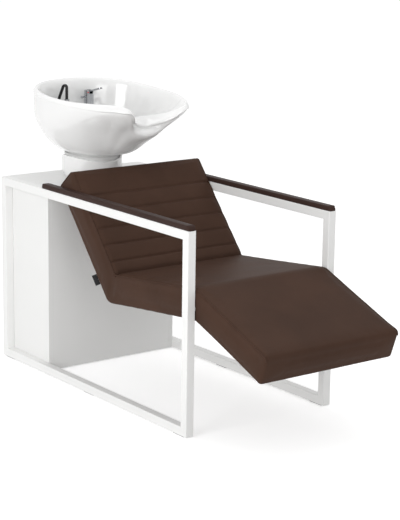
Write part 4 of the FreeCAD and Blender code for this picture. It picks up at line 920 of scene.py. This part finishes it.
def bowl_rows():
    """Rows of the closed net.

    They go up the outside, over the lip, down to the waste hole and back under the foot.
    """
    stations = bowl_stations()
    last = len(stations) - 1
    spans = range(last + 1)
    turn = [math.atan2(s[0], s[3]) for s in stations]
    rim = [s[:3] for s in stations]
    insets = [WING_INSET if j in WING_STATIONS else LIP_INSET for j in spans]
    inner = moved_out(rim, [-d for d in insets])

    def circle(r, z):
        return [(r * math.sin(a), r * math.cos(a), z) for a in turn]

    def outer(j, share):
        """A point of the outside, at a share of the way up from the foot to the roll."""
        x, y, crest, egg, _, _, lean = stations[j]
        front = smooth_step(80, 160, math.degrees(turn[j]))
        rear_width = between(BODY_HEIGHTS, BODY_REAR, share)
        width = rear_width * (1 - front) + between(BODY_HEIGHTS, BODY_FRONT, share) * front
        into = smooth_step(0.45, 1, share)
        ty = egg + (y - egg) * into - lean * smooth_step(0.4, 0.7, share) * 0.9
        cx, cy = FOOT_R * math.sin(turn[j]), FOOT_R * math.cos(turn[j])
        z = BODY_Z + share * (crest - ROLL_Z - BODY_Z)
        return (cx + (x - cx) * width, cy + (ty - cy) * width, z)

    def well(j, share):
        """A point of the inside, at a share of the way up from the floor to the lip."""
        x, y, crest = inner[j]
        if j > AROUND_QUARTER:
            side_x = inner[AROUND_QUARTER][0]
            round_by = math.pi / 2 * (j - AROUND_QUARTER) / (last - AROUND_QUARTER)
            depth = -inner[last][1] + SIDE_LINE
            fade = smooth_step(0.3, 1, share)
            px, py = side_x * math.cos(round_by), SIDE_LINE - depth * math.sin(round_by)
            x, y = px + (x - px) * fade, py + (y - py) * fade
        z = FLOOR_Z + share * (crest - ROLL_Z - FLOOR_Z)
        if j <= 2 and share in DECK_ROWS:
            return (x, *DECK_ROWS[share])
        if j <= 2 and share in APRON:
            ys, xs = APRON[share]
            z = FLOOR_Z + share * (DECK_Z - DECK_EDGE_DROP - FLOOR_Z) / min(DECK_ROWS)
            return (x * xs, APRON_Y * ys, z)
        front = smooth_step(95, 140, math.degrees(turn[j]))
        side_width = between(WELL_HEIGHTS, WELL_WIDTHS, share)
        width = side_width * (1 - front) + between(WELL_HEIGHTS, WELL_FRONT, share) * front
        cx, cy = DRAIN_R * math.sin(turn[j]), DRAIN_R * math.cos(turn[j])
        return (cx + (x - cx) * width, cy + (y - cy) * width, z)

    def lip(inset, lean_share, depth_share):
        """A row of the roll: its inset, and its shares of the lean and of the roll's depth."""
        moved = moved_out(rim, [s[6] * lean_share - inset for s in stations])
        return [(x, y, s[2] - s[4] * depth_share) for s, (x, y, _) in zip(stations, moved)]

    def under_lip(tuck_share, below):
        """The wall just below the roll, drawn in where the roll stands proud of it."""
        moved = moved_out(rim, [s[6] - s[5] * tuck_share for s in stations])
        return [(x, y, s[2] - s[4] - below) for s, (x, y, _) in zip(stations, moved)]

    rows = [circle(97, FOOT_Z), circle(97.5, FOOT_Z + 3)]
    rows += [circle(100, FOOT_Z + 14), circle(FOOT_R, BODY_Z - 3)]
    rows += [[outer(j, share) for j in spans] for share in BODY_HEIGHTS[:-1]]
    rows.append(under_lip(1, 9))
    rows.append(under_lip(1, 3))
    rows.append(lip(-1.5, 1, 1))
    rows.append(lip(-1, 0.95, 0.75))
    rows.append(lip(2, 0.5, 0.35))
    for inset_share in (0.3, 0.75):
        crown = moved_out(rim, [-inset_share * d for d in insets])
        rows.append([(x, y, z + 1.5) for x, y, z in crown])
    for share in (0.94, 0.85, 0.72, 0.66, 0.6, 0.53, 0.45, 0.35, 0.25, 0.1, 0.03, 0):
        rows.append([well(j, share) for j in spans])
    drain = ((DRAIN_R, 0), (22.5, 0.5), (21.2, 1.5), (21.2, 12))
    under = ((23, 14), (60, 14), (84, 17), (86, 30))
    rows += [circle(r, FLOOR_Z - drop) for r, drop in drain + under]
    rows += [circle(86, FOOT_Z + 2), circle(86.5, FOOT_Z), circle(96.5, FOOT_Z)]
    return rows


def bowl():
    """The basin's visible shell: the closed net, subdivided twice."""
    rows = [all_round(row) for row in bowl_rows()]
    around = len(rows[0])
    verts = [Vector((x, BASIN_Y + y, z)) * MM for row in rows for x, y, z in row]
    faces = []
    for r in range(len(rows)):
        s = (r + 1) % len(rows)
        for k in range(around):
            n = (k + 1) % around
            faces.append((r * around + k, r * around + n, s * around + n, s * around + k))
    shell = piece("basin_shell", verts, faces, "basin", "glazed_ceramic")
    finer = shell.modifiers.new("finer", "SUBSURF")
    finer.levels = 2
    finer.render_levels = 2
    apply_modifiers(shell)
    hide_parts("basin_bowl")


bowl()


# Mixer: its temperature mark


def temperature_mark():
    """A small red dome on the side of the cap that faces the client."""
    low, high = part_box("mixer_cap")
    centre = (low + high) / 2
    radius = (high.x - low.x) / 2
    sides = 20
    out = Vector((-11.6, -12.6, 0)).normalized()
    side = Vector((-out.y, out.x, 0))
    anchor = centre + Vector((0, 0, 1 * MM)) + out * (radius - 0.2 * MM)
    verts = [anchor + out * (1.3 * MM)]
    for r, proud in ((1.8, 1.1), (2.6, 0.2)):
        for k in range(sides):
            angle = 2 * math.pi * k / sides
            round_by = side * math.cos(angle) + Vector((0, 0, 1)) * math.sin(angle)
            verts.append(anchor + (round_by * r + out * proud) * MM)
    faces = [(0, 1 + k, 1 + (k + 1) % sides) for k in range(sides)]
    for k in range(sides):
        n = (k + 1) % sides
        faces.append((1 + k, 1 + sides + k, 1 + sides + n, 1 + n))
    dot = new_piece("mixer_temperature_mark", verts, faces, "mixer_cap")
    paint = moulded("mark_red", (0.55, 0.02, 0.02), 0.25, 0.01)
    dot.data.materials.append(paint)


temperature_mark()


# Floor, light and camera

FLOOR_HALF = 60.0
FLOOR_GLOW = 0.52
SKY_STRENGTH = 0.63
DARK_SIDE = (-0.55, -0.8, 0.25)


def seen_directly(tree):
    """1 for what the camera sees itself or in a reflection, 0 for light on other surfaces."""
    path = tree.nodes.new("ShaderNodeLightPath")
    seen = path.outputs["Is Camera Ray"]
    for kind in ("Is Glossy Ray", "Is Transmission Ray"):
        either = tree.nodes.new("ShaderNodeMath")
        either.operation = "MAXIMUM"
        tree.links.new(seen, either.inputs[0])
        tree.links.new(path.outputs[kind], either.inputs[1])
        seen = either.outputs[0]
    return seen


def blend(tree, kind, lit, seen):
    """Puts one shader in the light on other surfaces and another before the camera."""
    mix = tree.nodes.new("ShaderNodeMixShader")
    out = tree.nodes.new(kind)
    tree.links.new(seen_directly(tree), mix.inputs["Fac"])
    tree.links.new(lit.outputs[0], mix.inputs[1])
    tree.links.new(seen.outputs[0], mix.inputs[2])
    tree.links.new(mix.outputs[0], out.inputs["Surface"])


def pale_floor():
    """A matt floor that shows shadows and otherwise fades into the white background."""
    mesh = bpy.data.meshes.new("floor")
    corners = [(x * FLOOR_HALF, y * FLOOR_HALF, 0) for x, y in ((-1, -1), (1, -1), (1, 1), (-1, 1))]
    mesh.from_pydata(corners, [], [(0, 1, 2, 3)])
    floor = bpy.data.objects.new("floor", mesh)
    bpy.context.scene.collection.objects.link(floor)
    material = bpy.data.materials.new("pale_floor")
    material.use_nodes = True
    tree = material.node_tree
    tree.nodes.clear()
    matt = tree.nodes.new("ShaderNodeBsdfDiffuse")
    matt.inputs["Color"].default_value = (0.82, 0.82, 0.82, 1)
    faint = tree.nodes.new("ShaderNodeBsdfDiffuse")
    faint.inputs["Color"].default_value = (0.8, 0.8, 0.8, 1)
    glow = tree.nodes.new("ShaderNodeEmission")
    glow.inputs["Color"].default_value = (1, 1, 1, 1)
    glow.inputs["Strength"].default_value = FLOOR_GLOW
    bright = tree.nodes.new("ShaderNodeAddShader")
    tree.links.new(faint.outputs[0], bright.inputs[0])
    tree.links.new(glow.outputs[0], bright.inputs[1])
    blend(tree, "ShaderNodeOutputMaterial", matt, bright)
    mesh.materials.append(material)


def studio():
    """A soft white surrounding; before the camera and in gloss it is white with a dark side."""
    world = bpy.data.worlds.new("studio")
    bpy.context.scene.world = world
    world.use_nodes = True
    tree = world.node_tree
    tree.nodes.clear()
    soft = tree.nodes.new("ShaderNodeBackground")
    soft.inputs["Color"].default_value = (1, 1, 1, 1)
    soft.inputs["Strength"].default_value = SKY_STRENGTH
    white = tree.nodes.new("ShaderNodeBackground")
    white.inputs["Strength"].default_value = 1.0
    place = tree.nodes.new("ShaderNodeTexCoord")
    towards = tree.nodes.new("ShaderNodeVectorMath")
    towards.operation = "DOT_PRODUCT"
    towards.inputs[1].default_value = DARK_SIDE
    room = tree.nodes.new("ShaderNodeValToRGB")
    room.color_ramp.elements[0].position = 0.15
    room.color_ramp.elements[0].color = (1, 1, 1, 1)
    room.color_ramp.elements[1].position = 0.55
    room.color_ramp.elements[1].color = (0.12, 0.12, 0.13, 1)
    tree.links.new(place.outputs["Generated"], towards.inputs[0])
    tree.links.new(towards.outputs["Value"], room.inputs["Fac"])
    tree.links.new(room.outputs["Color"], white.inputs["Color"])
    blend(tree, "ShaderNodeOutputWorld", soft, white)


def lamp(name, place, target, size, power):
    data = bpy.data.lights.new(name, "AREA")
    data.shape = "RECTANGLE"
    data.size, data.size_y = size
    data.energy = power
    light = bpy.data.objects.new(name, data)
    bpy.context.scene.collection.objects.link(light)
    light.location = place
    light.rotation_euler = (Vector(target) - Vector(place)).to_track_quat("-Z", "Y").to_euler()


# The photograph's camera: azimuth, elevation and roll in degrees, its place in metres, its focal
# length in the picture's pixels and the picture's height
CAMERA_TURN = (-37.06, 13.1, 0.82)
CAMERA_PLACE = (-3.2577, -4.3763, 1.7353)
FOCAL_PIXELS = 1649.4
PICTURE_HEIGHT = 520
SENSOR = 36


def camera():
    azimuth, elevation, roll = (math.radians(v) for v in CAMERA_TURN)
    level = math.cos(elevation)
    back = Vector((math.sin(azimuth) * level, -math.cos(azimuth) * level, math.sin(elevation)))
    right = Vector((math.cos(azimuth), math.sin(azimuth), 0))
    up = back.cross(right)
    right_rolled = right * math.cos(roll) + up * math.sin(roll)
    up_rolled = up * math.cos(roll) - right * math.sin(roll)
    data = bpy.data.cameras.new("camera")
    data.sensor_width = SENSOR
    data.lens = FOCAL_PIXELS / PICTURE_HEIGHT * SENSOR
    cam = bpy.data.objects.new("camera", data)
    bpy.context.scene.collection.objects.link(cam)
    rotation = [[right_rolled[i], up_rolled[i], back[i]] for i in range(3)]
    matrix = Matrix(rotation).to_4x4()
    matrix.translation = Vector(CAMERA_PLACE)
    cam.matrix_world = matrix
    data.clip_end = 200
    bpy.context.scene.camera = cam


pale_floor()
studio()
lamp("key", (-4.8, -1.4, 1.9), (0, 0.1, 0.6), (2.6, 2.4), 106)
lamp("top", (0.3, 0.2, 4.2), (0, 0.1, 0.4), (3.0, 3.0), 34)
lamp("front", (-1.6, -6.0, 1.5), (0, 0.1, 0.6), (3.0, 2.0), 50)
camera()
bpy.context.scene.view_settings.view_transform = "Standard"

bpy.context.view_layer.update()
